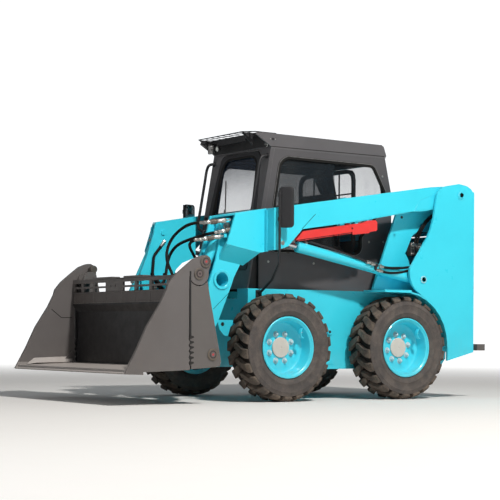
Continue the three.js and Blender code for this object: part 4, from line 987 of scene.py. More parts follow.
# ------------------------------------------------------------------ seat
def soft_block(name, outline_xz, half_y, mat_name, node, cap, puff, grooves=(), bolster=0.0):
    """A padded, crowned pad from an XZ outline: a rounded block, simulated, then its seams pressed in."""
    src = bpy.data.meshes.new(name)
    o = rounded(outline_xz, 26, 5)
    o = offset(o, -7)
    hy = half_y - 8
    n = len(o)
    levels = [(-hy, -16), (-hy + 9, -4), (-hy + 24, 0), (hy - 24, 0), (hy - 9, -4), (hy, -16)]
    v, f = [], []
    for y, d in levels:
        v += [row((x, y, z)) for x, z in offset(o, d)]
    for i in range(len(levels) - 1):
        for k in range(n):
            j = (k + 1) % n
            f.append((i * n + k, i * n + j, (i + 1) * n + j, (i + 1) * n + k))
    f += [tuple(range(n)), tuple(range(len(levels) * n - 1, (len(levels) - 1) * n - 1, -1))]
    src.from_pydata(v, [], f)
    bm = bmesh.new(); bm.from_mesh(src)
    bmesh.ops.recalc_face_normals(bm, faces=bm.faces)
    bm.to_mesh(src); bm.free()
    ob = bpy.data.objects.new(name, src)
    scene.collection.objects.link(ob)
    r = ob.modifiers.new("remesh", "REMESH")
    r.mode, r.voxel_size, r.adaptivity = "VOXEL", 0.009, 0.0
    dg = bpy.context.evaluated_depsgraph_get()
    me = bpy.data.meshes.new_from_object(ob.evaluated_get(dg))
    ob.modifiers.clear()
    ob.data = me
    rest = np.array([q.co for q in me.vertices], float)
    lo, hi = rest.min(0), rest.max(0)
    c = ob.modifiers.new("cloth", "CLOTH")
    st = c.settings
    st.quality = 4
    st.mass = 0.3
    st.use_pressure = True
    st.uniform_pressure_force = puff
    st.effector_weights.gravity = 0
    st.tension_stiffness = st.compression_stiffness = 12
    st.bending_stiffness = 0.6
    c.point_cache.frame_start, c.point_cache.frame_end = 1, 20
    for fr in range(1, 17):
        scene.frame_set(fr)
    dg = bpy.context.evaluated_depsgraph_get()
    ev = ob.evaluated_get(dg)
    co = np.array([q.co for q in ev.data.vertices], float)
    ob.modifiers.remove(c)
    scene.frame_set(1)
    if len(co) == len(rest) and np.isfinite(co).all():
        mv = co - rest
        L = np.linalg.norm(mv, axis=1)[:, None]
        co = rest + mv * np.minimum(1, cap / np.maximum(L, 1e-9))
    else:
        co = rest
    # press the seams, and keep the pad inside the node's box
    cx = (lo + hi) / 2
    sy = (co[:, 1] - cx[1]) / ((hi[1] - lo[1]) / 2)
    me.vertices.foreach_set("co", co.astype(np.float32).ravel())
    me.update()
    nr = np.zeros(len(co) * 3, np.float32)
    me.vertices.foreach_get("normal", nr)
    nr = nr.reshape(-1, 3).astype(float)
    depth = np.zeros(len(co))
    for axis_i, pos, w, dp in grooves:
        t = (co[:, axis_i] - pos) / w
        depth += dp * np.exp(-t * t)
    co = co - nr * depth[:, None]
    co = np.clip(co, np.array(row((0, 0, 0)))[None, :] * 0 + NB[node][0], NB[node][1])
    me.vertices.foreach_set("co", co.astype(np.float32).ravel())
    me.update()
    me.shade_smooth()
    me.materials.clear()
    me.materials.append(M[mat_name])
    sm = ob.modifiers.new("smooth", "SMOOTH")
    sm.factor, sm.iterations = 0.5, 3
    sb = ob.modifiers.new("sub", "SUBSURF")
    sb.levels = sb.render_levels = 1
    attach(ob, "chassis")
    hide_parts(node)
    return ob


NB = {}
for n_ in ("seat_cushion", "seat_back"):
    lo_, hi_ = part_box(n_)
    NB[n_] = (np.array(lo_) - 0.004, np.array(hi_) + 0.004)
gy = 0.108
soft_block("seat_cushion_pad", [(292, 1010.5), (742, 1010.5), (752, 1105), (292, 1090)], 232, "vinyl", "seat_cushion", 0.016, 4.0,
           grooves=[(1, 0.135, 0.006, 0.008), (1, -0.135, 0.006, 0.008), (0, (420 + X0) / 1000, 0.006, 0.006), (0, (540 + X0) / 1000, 0.006, 0.006), (0, (650 + X0) / 1000, 0.006, 0.006)])
soft_block("seat_back_pad", [(300, 1100), (388, 1100), (330, 1590), (245, 1590)], 228, "vinyl", "seat_back", 0.016, 4.0,
           grooves=[(1, 0.13, 0.006, 0.008), (1, -0.13, 0.006, 0.008), (2, 1.21, 0.006, 0.006), (2, 1.32, 0.006, 0.006), (2, 1.43, 0.006, 0.006), (2, 1.52, 0.006, 0.006)])

# seat controls: boots and grips on the joystick posts, arm pads
p = Piece("seat_controls", "chassis", "plastic", "black_trim")
for s in (1, -1):
    p.lathe([(0, 0), (30, 0), (32, 4), (26, 12), (28, 18), (21, 26), (23, 32), (15, 42), (0, 42)], (650, s * 308, 1128), (0.08, 0, 1), 28)
    p.lathe([(0, 0), (14, 0), (19, 8), (21, 40), (23, 70), (25, 84), (22, 98), (12, 106), (0, 108)], (662, s * 301, 1228), (0.02, 0, 1), 28)
p.done(angle=40)
p = Piece("arm_pads", "chassis", "vinyl", "seat_vinyl")
for s in (1, -1):
    p.prism(rounded([(310, s * 276), (560, s * 276), (560, s * 340), (310, s * 340)], 18, 5), "z", 1127, 1150)
p.done(bevel=0.008, seg=4, angle=50)

# ------------------------------------------------------------------ cab: seals, trims, lamps, door hardware
SIDE_WIN = rounded([[915, 1786], [50, 1776], [-62, 1585], [-62, 1470], [165, 1225], [165, 1092], [1030, 1092]], [95, 70, 30, 60, 40, 120, 60], 8)
DOOR_GLASS = [(-268, 1060), (268, 1060), (268, 1400), (232, 1806), (-232, 1806), (-268, 1400)]
for side, s in SIDES:
    p = Piece(f"{side}_window_seal", "chassis", "seal", "hose_rubber")
    p.ring(offset(SIDE_WIN, 13), offset(SIDE_WIN, -15), "y", s * 389.2, s * 393.5)
    p.ring(offset(SIDE_WIN, 6), offset(SIDE_WIN, -12), "y", s * 392, s * 396.5)
    p.done(bevel=0.0015, seg=2, angle=40)
    p = Piece(f"{side}_window_trim", "chassis", "edge_trim", "cab_paint")
    p.ring(offset(SIDE_WIN, 11), offset(SIDE_WIN, 6.4), "y", s * 393, s * 395.6)
    p.done(angle=40)
    # roof drip edge, seams and fixings
    p = Piece(f"{side}_cab_trim", "chassis", "cab", "cab_paint")
    p.prism([(1002, 1841), (1002, 1852.6), (-70, 1852.6), (-68, 1841)], "y", s * 389.6, s * 391.4)
    p.prism([(cab_x(1845) - 34, 1845), (cab_x(1845) - 29, 1845), (cab_x(1080) - 29, 1080), (cab_x(1080) - 34, 1080)], "y", s * 389.6, s * 391.6)
    p.done(bevel=0.001)
    p = Piece(f"{side}_roof_seam", "chassis", "seal", "hose_rubber")
    p.prism([(1002, 1854.4), (1002, 1859.4), (-75, 1859.4), (-73, 1854.4)], "y", s * 389, s * 390.5)
    p.done(angle=40)
    p = Piece(f"{side}_cab_bolts", "chassis", "zinc", "cab_paint")
    for x, z in ((-84, 1010), (-54, 1198), (87, 1192), (230, 1012), (610, 1012), (1020, 1012), (-40, 1700)):
        p.lathe([(0, -1), (9, -1), (9.5, 1), (7, 3.6), (0, 4.2)], (x, s * 390, z), (0, s, 0), 18)
    for dx in (-22, 22):
        p.lathe([(0, -1), (4.5, -1), (4.6, 0.6), (0, 1)], (985 + dx, s * 390, 1912), (0, s, 0), 14)
    p.done(bevel=0.0005, seg=1)
    p = Piece(f"{side}_roof_port", "chassis", "black", "black_trim")
    p.lathe([(0, -0.4), (10, -0.4), (10.5, 0.6), (0, 0.8)], (985, s * 390, 1912), (0, s, 0), 24)
    p.done(bevel=0.0006)

# door glass seal, wiper motor on the door glass, door hinges, handle
p = Piece("front_door_seal", "cab_door", "seal", "hose_rubber")
inner = offset(rounded(DOOR_GLASS, [40, 40, 0, 100, 100, 0], 8), -9)
outer = offset(rounded(DOOR_GLASS, [40, 40, 0, 100, 100, 0], 8), 8)
n = len(outer)
v = []
for dx in (-9.0, 3.6):
    v += [(cab_x(z) + dx, y, z) for y, z in outer] + [(cab_x(z) + dx, y, z) for y, z in inner]
f = []
for i in range(n):
    j = (i + 1) % n
    f += [(i, j, n + j, n + i), (2 * n + i, 3 * n + i, 3 * n + j, 2 * n + j), (i, 2 * n + i, 2 * n + j, j), (n + i, n + j, 3 * n + j, 3 * n + i)]
p.raw(v, f)
p.done(bevel=0.0015)


def on_door(y, z, d=0.0):
    return (cab_x(z) + d, y, z)


FRONT = (0.984, 0, 0.179)
p = Piece("door_hardware", "cab_door", "black", "black_trim")
# wiper: motor cover, arm and blade
p.lathe([(0, 0), (30, 0), (32, 6), (28, 22), (0, 26)], on_door(0, 1012, 2), FRONT, 28)
p.tube([on_door(0, 1012, 24), on_door(-20, 1090, 26), on_door(-70, 1260, 18), on_door(-96, 1420, 10)], 4.2, 10)
p.tube([on_door(-40, 1200, 4), on_door(-96, 1430, 4.5), on_door(-150, 1640, 4)], 5.0, 8)
# handle plate and lever
p.prism(rounded([(-314, 1150), (-276, 1150), (-276, 1290), (-314, 1290)], 9, 4), "x", cab_x(1220) - 9, cab_x(1220) + 17)
p.tube([on_door(-295, 1170, 22), on_door(-295, 1176, 40), on_door(-295, 1262, 42), on_door(-295, 1270, 24)], 6.5, 12)
p.done(bevel=0.0015)
p = Piece("door_hinges", "chassis", "black", "black_trim")
for z in (1240, 1660):
    yy = -334 + (0 if z < 1400 else 44)
for z, y in ((1190, -341), (1330, -341)):
    p.lathe([(0, -46), (10, -46), (11, -44), (11, 44), (10, 46), (0, 46)], (cab_x(z) + 13, y - 3, z), (-0.1787, 0, 0.984), 20)
p.done(bevel=0.001)

# work lights under the visor and a strip in the header
p = Piece("work_lights", "chassis", "black", "black_trim")
l = Piece("work_light_lenses", "chassis", "lens", "cab_plastic")
for x, y, z_, r in ((1098, -193, 1886, 21), (1012, 346, 1874, 20)):
    p.lathe([(0, -20), (r * 0.7, -20), (r, -10), (r + 2, -2), (r + 2, 3), (r - 1, 5), (r - 1.5, 1), (0, 1)], (x, y, z_), (0.97, 0, -0.2), 32)
    l.lathe([(0, 0.6), (r - 2, 0.6), (r - 2.4, 2), (r * 0.5, 4), (0, 4.8)], (x, y, z_), (0.97, 0, -0.2), 32)
p.prism([(1084, 1906), (1098, 1906), (1098, 1931), (1084, 1931)], "y", -203, -183)
k_ = Piece("lamp_can", "chassis", "edge_trim", "black_trim")
k_.lathe([(0, 0), (22, 0), (25, 4), (25, 58), (21, 64), (0, 64)], (1092, -288, 1856), (0.1, 0, 1), 28)
k_.done(bevel=0.001)
p.box(1085, 1096, -184, 184, 1909, 1931)
p.prism([(1006, 1860), (1018, 1860), (1018, 1890), (1006, 1890)], "y", 338, 354)
p.done(bevel=0.001)
l.done(angle=50)
p = Piece("header_panel", "chassis", "dark", "black_trim")
p.box(1004.4, 1007, -373, 373, 1860, 1954)
for s in (1, -1):
    p.prism([(1005, 1863), (1080, 1910), (1118, 1937), (1114, 1948), (1078, 1952), (1005, 1952)], "y", s * 373.4, s * 375.7)
p.done(bevel=0.0006, seg=1)

# ------------------------------------------------------------------ uprights: lights, pins, valves, hoses
for side, s in SIDES:
    p = Piece(f"{side}_tail_light", "chassis", "lens_red", "cab_plastic")
    p.prism(rounded([(s * 660, 1384), (s * 710, 1384), (s * 710, 1444), (s * 660, 1444)], 8, 4), "x", -694, -689)
    p.prism([(-688, 1386), (-672, 1386), (-672, 1442), (-688, 1442)], "y", s * 714.6, s * 717)
    p.done(bevel=0.0015)
    # pin heads: a dark disc and a grease nipple
    p = Piece(f"{side}_upright_pins", "chassis", "iron", "rod_chrome")
    for x, z in (PIVOT, LIFT_BASE):
        p.lathe([(0, 0), (19, 0), (20, 1), (20, 2.2), (18, 3), (0, 3)], (x, s * 741, z), (0, s, 0), 32)
        p.lathe([(0, 2), (3.2, 2), (3.2, 4.4), (0, 5)], (x, s * 741, z), (0, s, 0), 10)
    p.done(bevel=0.0008, seg=1)
    p = Piece(f"{side}_upright_bosses", "chassis", "nut", "machine_paint")
    for x, z in (PIVOT, LIFT_BASE):
        p.lathe([(20.4, -6), (27, -6), (27, 6.5), (25.6, 8.4), (21.6, 8.4), (20.4, 7)], (x, s * 735, z), (0, s, 0), 40, closed=True)
    p.done(bevel=0.001)
    p = Piece(f"{side}_upright_lip", "chassis", "cyan", "machine_paint")
    # a folded lip down the rear edge
    p.prism([(-672, 352), (-664, 352), (-664, 1575), (-672, 1575)], "y", s * 734.6, s * 737.4)
    p.done(bevel=0.001)
    # valve block and steel lines seen through the access window
    p = Piece(f"{side}_valve_block", "chassis", "zinc", "rod_chrome")
    y0 = s * 520
    p.box(-300, -200, s * 500, s * 545, 1090, 1190)
    for i, z in enumerate((1105, 1132, 1159, 1180)):
        for x in (-282, -250, -218):
            if (i + x) % 2:
                continue
            p.lathe([(0, 0), (9, 0), (9, 16), (0, 16)], (x, s * 545, z), (0, s, 0), 14)
        p.hexnut((-260 + i * 14, s * 545, z), (0, s, 0), 13, 0, 16)
    p.lathe([(0, 0), (20, 0), (20, 60), (16, 64), (0, 64)], (-330, s * 528, 1120), (0, 0, 1), 24)
    p.done(bevel=0.0015)
    p = Piece(f"{side}_upright_hoses", "chassis", "hose", "hose_rubber")
    f_ = Piece(f"{side}_upright_hose_ends", "chassis", "zinc", "rod_chrome")
    for i in range(4):
        x = -282 + i * 24
        z = 1110 + i * 16
        pts = [(x, s * 556, z), (x - 4, s * 574, z - 2), (x - 20, s * 584, z - 40), (x - 40 - i * 8, s * 586, z - 130), (x - 44 - i * 4, s * 584, 900 - i * 10), (x - 30 + i * 2, s * 578, 800)]
        p.tube(pts, 9.5, 12)
        f_.lathe([(0, -6), (12, -6), (12, 14), (11, 22), (0, 22)], (x, s * 556, z), (0, s, 0), 14)
    for i in range(2):
        pts = [(-230 - i * 26, s * 552, 1186), (-236 - i * 26, s * 560, 1230), (-250 - i * 20, s * 588, 1290), (-330 - i * 12, s * 596, 1380), (-440, s * (592 + 14 * i), 1440), (-520, s * (590 + 14 * i), 1466)]
        p.tube(pts, 9.5, 12)
    p.done(angle=60)
    f_.done(bevel=0.001)
    # bolts along the chassis skirt, the tie-down eye between the wheels, a plate low on the skirt
    p = Piece(f"{side}_skirt_bolts", "chassis", "cyan", "machine_paint")
    for z in (600, 480, 352):
        p.lathe([(0, -1), (8, -1), (9, 0.5), (7.5, 4), (0, 5)], (575, s * 470, z), (0, s, 0), 16)
    p.lathe([(11, 0), (22, 0), (22, 12), (20, 14), (13, 14), (11, 12)], (520, s * 469.6, 500), (0, s, 0), 28, closed=True)
    p.prism([(480, 262), (620, 262), (600, 300), (500, 300)], "y", s * 469.6, s * 476)
    p.done(bevel=0.001)
    p = Piece(f"{side}_skirt_eye", "chassis", "black", "black_trim")
    p.lathe([(0, 1), (11.4, 1), (11.4, 9), (7, 9), (7, 4), (0, 4)], (520, s * 469.6, 500), (0, s, 0), 20)
    p.done(angle=40)

for side, s in SIDES:
    p = Piece(f"{side}_front_lug", "chassis", "cyan", "machine_paint")
    p.prism([(1433, 582), (1270, 580), (1270, 500), (1355, 464), (1378, 470), (1417, 512)], "y", s * 340, s * 354)
    p.done(bevel=0.002)
    # a near-black disc on the lug's face stands in for its hole: painted shade
    p = Piece(f"{side}_front_lug_hole", "chassis", "dark", "black_trim")
    p.lathe([(0, -0.5), (14, -0.5), (14.4, 0.5), (0, 0.6)], (1390, s * 354, 551), (0, s, 0), 24)
    p.done(angle=40)

# rear: louvres, handle, hinges on the door; grille slots on the hood
p = Piece("rear_door_louvres", "engine_door", "cyan", "machine_paint")
for i in range(11):
    z = 700 + i * 44
    for y0, y1 in ((-400, -20), (20, 400)):
        p.prism([(-699.6, z), (-699.6, z + 28), (-703, z + 27), (-714, z + 6), (-713, z)], "y", y0, y1)
p.done(bevel=0.0015)
p = Piece("rear_door_hardware", "engine_door", "black", "black_trim")
p.prism(rounded([(300, 1150), (380, 1150), (380, 1205), (300, 1205)], 10, 4), "x", -705, -699.5)
p.tube([(-705, 315, 1178), (-722, 320, 1178), (-722, 362, 1178), (-705, 367, 1178)], 6, 10)
for z in (520, 900, 1210):
    p.lathe([(0, -36), (10, -36), (10, 36), (0, 36)], (-706, -470, z), (0, 0, 1), 18)
    p.box(-704, -699.5, -470, -410, z - 26, z + 26)
p.done(bevel=0.001)
p = Piece("hood_grille", "hood", "black", "black_trim")
for i in range(9):
    x = -560 + i * 38
    p.prism(rounded([(x, -240), (x + 22, -240), (x + 22, 240), (x, 240)], 10, 4), "z", 1351.6, 1354)
p.done(bevel=0.0008)
p = Piece("exhaust_stack", "hood", "iron", "engine_iron")
p.lathe([(26, 0), (30, 0), (30, 60), (26, 60)], (-520, 380, 1350), (0, 0, 1), 32, closed=True)
p.lathe([(30, 0), (46, 0), (46, 4), (30, 6)], (-520, 380, 1351), (0, 0, 1), 32, closed=True)
p.done(bevel=0.0015)
# engine ancillaries, seen when the covers are open
p = Piece("engine_detail", "chassis", "iron", "engine_iron")
p.box(-500, -230, -200, 200, 1008, 1060)
for i in range(4):
    p.lathe([(0, 0), (34, 0), (34, 46), (28, 54), (0, 54)], (-460 + i * 66, -60, 1056), (0, 0, 1), 24)
p.lathe([(0, 0), (150, 0), (158, 8), (158, 26), (150, 34), (0, 34)], (-541, 0, 720), (-1, 0, 0), 48)
p.lathe([(0, 0), (60, 0), (62, 8), (62, 26), (0, 30)], (-541, 0, 960), (-1, 0, 0), 36)
for a in range(6):
    t = math.radians(60 * a)
    p.prism([(0 + 30 * math.cos(t) - 12 * math.sin(t), 720 + 30 * math.sin(t) + 12 * math.cos(t)), (0 + 140 * math.cos(t) - 30 * math.sin(t), 720 + 140 * math.sin(t) + 30 * math.cos(t)),
             (0 + 146 * math.cos(t) + 22 * math.sin(t), 720 + 146 * math.sin(t) - 22 * math.cos(t)), (0 + 30 * math.cos(t) + 12 * math.sin(t), 720 + 30 * math.sin(t) - 12 * math.cos(t))], "x", -590, -582)
p.done(bevel=0.002)
p = Piece("engine_filters", "chassis", "cap", "engine_iron")
p.lathe([(0, 0), (52, 0), (55, 6), (55, 180), (48, 192), (0, 192)], (-420, 300, 700), (0, 0, 1), 32)
p.lathe([(0, 0), (40, 0), (42, 5), (42, 120), (36, 130), (0, 130)], (-300, 300, 640), (0, 0, 1), 32)
p.done(bevel=0.002)

# front step: raised dimples
p = Piece("step_tread", "chassis", "black", "black_trim")
for i in range(13):
    for j in range(3):
        p.lathe([(0, -0.5), (13, -0.5), (12, 2.4), (7, 3.6), (6, 1.6), (0, 1.6)], (1125 + j * 44, -330 + i * 55, 740), (0, 0, 1), 16)
p.done(angle=40)

# ------------------------------------------------------------------ lift arms: pins, couplers, lines, red bar ends
for side, s in SIDES:
    p = Piece(f"{side}_arm_bolts", "lift_arms", "zinc", "rod_chrome")
    p.bolt((1108, s * 700, 1131), (0, s, 0), 11, 8)
    # tilt cylinder and bucket pin heads
    for (x, z), y in ((TILT_BASE, 508), (BUCKET_PIN, 500)):
        p.lathe([(0, -3), (26, -3), (28, 0), (28, 4), (25, 6), (0, 6)], (x, s * y, z), (0, s, 0), 32)
        p.hexnut((x, s * y, z), (0, s, 0), 14, 5, 12)
    p.done(bevel=0.0008, seg=1)
    p = Piece(f"{side}_arm_seams", "lift_arms", "cyan", "machine_paint")
    # weld beads and folded edges
    p.tube([(-95, s * 700.3, 1414), (-157, s * 700.3, 1504), (-346, s * 700.3, 1573)], 2.0, 8, smooth=False)
    p.tube([(-95, s * 700.3, 1414), (-235, s * 700.3, 1428)], 1.8, 8, smooth=False)
    p.done(angle=60)
    p = Piece(f"{side}_arm_joints", "lift_arms", "seal", "hose_rubber")
    p.tube([(822, s * 700.1, 1349), (940, s * 700.1, 1238)], 1.7, 6, smooth=False)
    p.tube([(1562, s * 500.1, 655), (1436, s * 500.1, 769)], 1.6, 6, smooth=False)
    # a black disc on the beam's side stands in for a hole: painted shade
    p.lathe([(0, -1), (11, -1), (11.4, 0.4), (9, 0.9), (0, 0.9)], (20, s * 700, 1366), (0, s, 0), 24)
    p.done(angle=60)
    ring = Piece(f"{side}_cross_tube_ring", "lift_arms", "cyan", "machine_paint")
    ring.lathe([(50.4, 0), (71, 0), (71, 6), (68, 9), (53, 9), (50.4, 7)], (CROSS_TUBE[0], s * 500.2, CROSS_TUBE[1]), (0, s, 0), 56, closed=True)
    ring.done(angle=40)

# torsion tube with a smooth wall
p = Piece("cross_tube", "lift_arms", "cyan", "machine_paint")
p.lathe([(50, -506), (64, -506), (64, -500.4), (55, -500.4), (55, 500.4), (64, 500.4), (64, 506), (50, 506)], (CROSS_TUBE[0], 0, CROSS_TUBE[1]), (0, 1, 0), 64, closed=True)
p.done(angle=30, replaces=["arm_cross_tube"])

# quick couplers on the left arm (the ends of the auxiliary lines)
c = Piece("quick_couplers", "lift_arms", "zinc", "rod_chrome")
cd = Piece("coupler_sleeves", "lift_arms", "steel", "rod_chrome")


def coupler(a, b, y):
    a, b = np.array([a[0], y, a[1]], float), np.array([b[0], y, b[1]], float)
    d = b - a
    L = np.linalg.norm(d)
    d = d / L
    c.lathe([(0, 0), (12.5, 0), (12.5, 26), (14, 28), (14, 34), (0, 34)], a, d, 20)
    c.hexnut(a, d, 17, 34, 58)
    cd.lathe([(0, 58), (16, 58), (19, 62), (19, 84), (17, 87), (17, 90), (19, 93), (19, 108), (14, 112), (0, 112)], a, d, 28)
    c.lathe([(0, 110), (15, 110), (15, L * 0.62), (17, L * 0.64), (17, L * 0.72), (0, L * 0.72)], a, d, 20)
    c.hexnut(a, d, 18, L * 0.70, L * 0.82)
    c.lathe([(0, L * 0.8), (11, L * 0.8), (11, L), (0, L)], a, d, 16)


coupler((1684, 1256), (1462, 1287), 556)
coupler((1560, 1196), (1467, 1215), 552)
coupler((1701, 1138), (1494, 1173), 540)
c.done(bevel=0.0007, seg=1)
cd.done(bevel=0.0008, seg=1)
# bracket that carries the couplers off the leg plate
p = Piece("coupler_bracket", "lift_arms", "cyan", "machine_paint")
p.prism([(1462, 1150), (1508, 1142), (1516, 1290), (1470, 1300)], "y", 499, 506)
p.box(1474, 1500, 505, 566, 1268, 1296)
p.box(1474, 1500, 505, 566, 1200, 1224)
p.box(1486, 1512, 505, 556, 1160, 1184)
p.done(bevel=0.0015)

# steel and rubber lines inside the legs and along the beam
h = Piece("arm_hoses", "lift_arms", "hose", "hose_rubber")
z = Piece("arm_hose_ends", "lift_arms", "zinc", "rod_chrome")
lines = [
    [(1701, 540, 1138), (1716, 505, 1136), (1712, 430, 1120), (1672, 360, 1092), (1622, 330, 1040), (1578, 330, 975), (1556, 338, 915)],
]
far = [(1462, -366, 1173), (1497, -366, 1126), (1523, -366, 1095), (1544, -366, 1064), (1552, -366, 996), (1558, -362, 930), (1552, -350, 870)]
for pts in lines + [far]:
    h.tube(pts, 10.5, 14)
# looped lines between the legs, tied over the torsion tube
for y, dx in ((300, 0), (262, 14)):
    h.tube([(1556 + dx, y + 38, 915), (1540 + dx, y + 20, 850), (1500 + dx, y, 795), (1452 + dx, y - 6, 812), (1432 + dx, y - 4, 880), (1446 + dx, y, 950), (1480 + dx, y + 40, 1010), (1490 + dx, y + 70, 1090)], 10.5, 14)
for y in (-300, -262):
    h.tube([(1560, -381, 905 + (y + 300) * 0.6), (1558, -350, 893 + (y + 300) * 0.5), (1548, y - 10, 852), (1508, y, 793), (1458, y + 2, 806), (1436, y - 6, 858), (1444, y - 40, 898), (1452, -381, 912 + (y + 300) * 0.5)], 10.5, 14)
for o, d in (((1462, -366, 1173), (0.6, 0, -0.78)), ((1556, 338, 915), (-0.25, 0, -0.97)), ((1701, 540, 1138), (1, 0, -0.1))):
    z.hexnut(o, d, 15, -14, 6)
    z.lathe([(0, 4), (13, 4), (13, 40), (12, 44), (0, 44)], o, d, 18)
h.done(angle=60)
z.done(bevel=0.0006, seg=1)

# lines along the lift cylinders
for side, s in SIDES:
    bb = f"{side}_lift_barrel"
    d = unit(LIFT_BASE, LIFT_EYE)
    up_ = np.array([-d[2], 0, d[0]])
    B = np.array([LIFT_BASE[0], s * LIFT_Y, LIFT_BASE[1]], float)
    at = lambda t, h_, y=0.0: B + d * t + up_ * h_ + np.array([0, s * y, 0])
    p = Piece(f"{side}_lift_line", bb, "black", "black_trim")
    p.tube([at(1062, 44), at(1056, 54, 4), at(1030, 57, 14), at(980, 54, 22), at(780, 42, 36), at(560, 25, 45), at(528, 22, 46)], 7.6, 12)
    p.lathe([(0, -16), (12, -16), (13, -13), (13, 13), (12, 16), (0, 16)], at(438, 16, 46), d, 20)
    p.lathe([(0, 0), (10, 0), (10, 34), (0, 34)], at(438, 16, 46), -up_, 16)
    p.done(bevel=0.0008)
    p = Piece(f"{side}_lift_line_ends", bb, "zinc", "rod_chrome")
    for t, hh, yy in ((520, 21, 46), (476, 18, 46), (396, 17, 46), (398, -17, 44)):
        p.hexnut(at(t, hh, yy), -d, 15.5, -13, 9)
        p.lathe([(0, 8), (12.4, 8), (12.4, 24), (11, 28), (0, 28)], at(t, hh, yy), -d, 18)
    p.lathe([(0, -20), (10.5, -20), (10.5, 20), (0, 20)], at(412, -17, 44), d, 16)
    p.hexnut(at(1062, 38), up_, 15, -2, 14)
    p.done(bevel=0.0006, seg=1)
    # short flexible tails towards the upright
    p = Piece(f"{side}_lift_tails", bb, "hose", "hose_rubber")
    p.tube([at(376, 17, 46), at(340, 19, 46), at(290, 27, 44), at(230, 40, 38), at(170, 54, 24), at(110, 72, 8), at(60, 90, -8), at(20, 106, -16)], 9.8, 14)
    p.tube([at(378, -17, 44), at(330, -16, 44), at(270, -6, 42), at(210, 10, 38), at(150, 30, 28), at(96, 52, 10), at(46, 72, -4), at(6, 90, -14)], 9.8, 14)
    p.done(angle=60)

# support bar: boxed end, latch pin and its clip
p = Piece("support_bar_end", "lift_arms", "red", "safety_red")
p.prism([(327, 1234), (484, 1215), (492, 1284), (470, 1288), (327, 1300)], "y", 698.3, 702)
p.tube([(494, 699, 1226), (980, 699, 1150)], 2.0, 8, smooth=False)
p.done(bevel=0.0015)
p = Piece("support_bar_pin", "lift_arms", "black", "black_trim")
p.lathe([(0, -2), (7, -2), (7, 0.8), (0, 0.8)], (486, 701.6, 1262), (0, 1, 0), 16)
p.done(bevel=0.0004, seg=1)
p = Piece("support_bar_clip", "lift_arms", "cyan", "machine_paint")
p.box(424, 452, 640, 690, 1296, 1330)
p.done(bevel=0.003)

# ------------------------------------------------------------------ bucket: pins, bolts, rail beads, wear strips
for side, s in SIDES:
    PIN = [(0, -1), (38.5, -1), (40, 0.6), (40, 1.6), (38, 2.6), (26, 2.6), (25, 1.4), (0, 1.4)]
    p = Piece(f"{side}_bucket_pins", "bucket", "steel", "rod_chrome")
    for x, z_ in (JAW_PIN, JAW_BASE):
        p.lathe(PIN, (x, s * 855.2, z_), (0, s, 0), 40)
        p.hexnut((x, s * 855.2, z_), (0, s, 0), 19, 1, 5.2)
    p.done(bevel=0.0005, seg=1)
    p = Piece(f"{side}_jaw_pins", "jaw", "steel", "rod_chrome")
    p.lathe(PIN, (JAW_EYE[0], s * 855.2, JAW_EYE[1]), (0, s, 0), 40)
    p.hexnut((JAW_EYE[0], s * 855.2, JAW_EYE[1]), (0, s, 0), 19, 1, 5.2)
    p.done(bevel=0.0005, seg=1)
    for nm, bd, (x, z_) in (("bucket_pin", "bucket", JAW_BASE), ("jaw_pin", "jaw", JAW_EYE)):
        p = Piece(f"{side}_{nm}_cap", bd, "dot", "safety_red")
        p.lathe([(0, 4.6), (7.5, 4.6), (7, 5.5), (0, 5.7)], (x, s * 855.2, z_), (0, s, 0), 20)
        p.done(angle=40)
p = Piece("bucket_rail_beads", "bucket", "bucket", "bucket_paint")
for z_ in (704, 780, 858):
    p.tube([(1991 if z_ > 700 else 1957, -815, z_), (1991 if z_ > 700 else 1957, 815, z_)], 2.4, 8)
for y in (-790, -655, -487, -290, -60, 142, 352, 590, 795):
    p.tube([(1990.4, y, 704), (1990.4, y, 782)], 1.6, 6)
p.done(angle=60)
p = Piece("bucket_back_ribs", "bucket", "bucket", "bucket_paint")
for y in (-560, -420, -180, 0, 180, 420, 560):
    p.prism([(1937.5, 280), (1937.5, 640), (1928, 630), (1928, 290)], "y", y - 20, y + 20)
p.done(bevel=0.002)
for side, s in SIDES:
    p = Piece(f"{side}_jaw_doubler_line", "jaw", "seal", "hose_rubber")
    p.tube([(2170, s * 826.4, 661), (2162, s * 826.4, 653), (2087, s * 826.4, 597), (2000, s * 826.4, 597)], 2.6, 6, smooth=False)
    p.done(angle=60)
    p = Piece(f"{side}_jaw_floor_gusset", "jaw", "worn", "bucket_paint")
    p.raw([(2373, s * 827, 247), (2313, s * 827, 293), (2000, s * 827, 305), (1975, s * 827, 262), (2360, s * 790, 247), (2300, s * 800, 256), (2010, s * 800, 262), (1985, s * 800, 256)],
          [(0, 1, 5, 4), (1, 2, 6, 5), (2, 3, 7, 6), (0, 4, 5, 6, 7, 3), (0, 3, 2, 1)])
    p.done(bevel=0.001)
for side, s in SIDES:
    # painted shade: a dark shadow line and dark notches where the two halves of the side plate meet
    p = Piece(f"{side}_plate_joint", "bucket", "dark", "bucket_paint")
    p.prism([(1973, 901), (1961, 901), (1957, 465), (1969, 465)], "y", s * 849.6, s * 850.5)
    for k in range(6):
        zt = 469 - k * 34.7
        p.prism([(1970, zt), (1938, zt - 5), (1934, zt - 14), (1968, zt - 27)], "y", s * 849.6, s * 850.5)
    p.done(angle=40)
p = Piece("jaw_edge_bolts", "jaw", "steel", "bucket_paint")
for i in range(9):
    y = -760 + i * 190
    p.lathe([(0, 0), (14, 0), (14.5, 1.2), (9, 3.6), (0, 4.2)], (2384, y, 232 - (2384 - 2325) * 0.06), (0.06, 0, 1), 20)
p.done(bevel=0.0005, seg=1)
p = Piece("jaw_wear_lip", "jaw", "worn", "bucket_paint")
p.prism([(2440, 222.5), (2466.5, 217.2), (2466.5, 216.8), (2440, 209.6), (2436, 209.4), (2436, 223.6)], "y", -849.5, 849.5)
p.done(bevel=0.0003, seg=1)

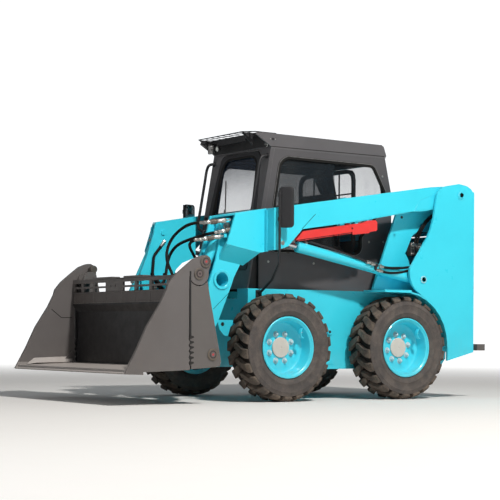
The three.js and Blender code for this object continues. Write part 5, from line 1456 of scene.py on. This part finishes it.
# ------------------------------------------------------------------ floor, light, world
fm = Nodes("floor")
fm.link(fm.mix(fm.math("MULTIPLY", fm.noise(0.6, 4.0), 0.10), srgb(234, 232, 229), srgb(224, 222, 218)), fm.bsdf.inputs["Base Color"])
fm.link(fm.remap(fm.noise(6.0), 0.3, 0.7, 0.75, 0.9), fm.bsdf.inputs["Roughness"])
# The floor glows more with distance from the origin, from 3.5 m to 15 m: painted light that keeps the far floor bright.
far_ = fm.n("ShaderNodeVectorMath", operation="LENGTH")
fm.link(fm.coord.outputs["Object"], far_.inputs[0])
fm.bsdf.inputs["Emission Color"].default_value = (1.0, 1.0, 1.0, 1.0)
fm.link(fm.remap(far_.outputs["Value"], 3.5, 15.0, 0.0, 0.9), fm.bsdf.inputs["Emission Strength"])
fme = bpy.data.meshes.new("floor")
fme.from_pydata([(-30, -30, 0), (30, -30, 0), (30, 30, 0), (-30, 30, 0)], [], [(0, 1, 2, 3)])
floor = bpy.data.objects.new("floor", fme)
scene.collection.objects.link(floor)
fme.materials.append(fm.mat)

world = bpy.data.worlds.new("studio")
scene.world = world
world.use_nodes = True
bg = world.node_tree.nodes["Background"]
bg.inputs[0].default_value = (0.96, 0.98, 1.0, 1)
wt = world.node_tree
tc = wt.nodes.new("ShaderNodeTexCoord")
dp = wt.nodes.new("ShaderNodeVectorMath")
dp.operation = "DOT_PRODUCT"
dp.inputs[1].default_value = tuple(axis)
mr = wt.nodes.new("ShaderNodeMapRange")
mr.interpolation_type = "SMOOTHSTEP"
for k_, v_ in (("From Min", 0.93), ("From Max", 0.962), ("To Min", 0.19), ("To Max", 1.12)):
    mr.inputs[k_].default_value = v_
wt.links.new(tc.outputs["Generated"], dp.inputs[0])
wt.links.new(dp.outputs["Value"], mr.inputs["Value"])
wt.links.new(mr.outputs["Result"], bg.inputs[1])


def light(name, loc, target, size, power, color=(1, 1, 1)):
    d = bpy.data.lights.new(name, "AREA")
    d.shape, d.size, d.energy, d.color = "DISK", size, power, color
    o = bpy.data.objects.new(name, d)
    scene.collection.objects.link(o)
    o.location = loc
    o.rotation_mode = "QUATERNION"
    o.rotation_quaternion = (Vector(target) - Vector(loc)).to_track_quat("-Z", "Y")
    return o


light("key", (0.57, 7.0, 8.0), (0.0, 0.3, 0.8), 0.6, 930, (1.0, 0.975, 0.94))
light("fill", (7.0, 3.0, 3.2), (0.6, 0, 0.8), 4.0, 30, (0.94, 0.97, 1.0))
light("back", (-5.0, -5.0, 5.0), (0, 0, 1.0), 3.5, 40, (0.95, 0.97, 1.0))
scene.view_settings.view_transform = "Standard"
scene.view_settings.look = "None"
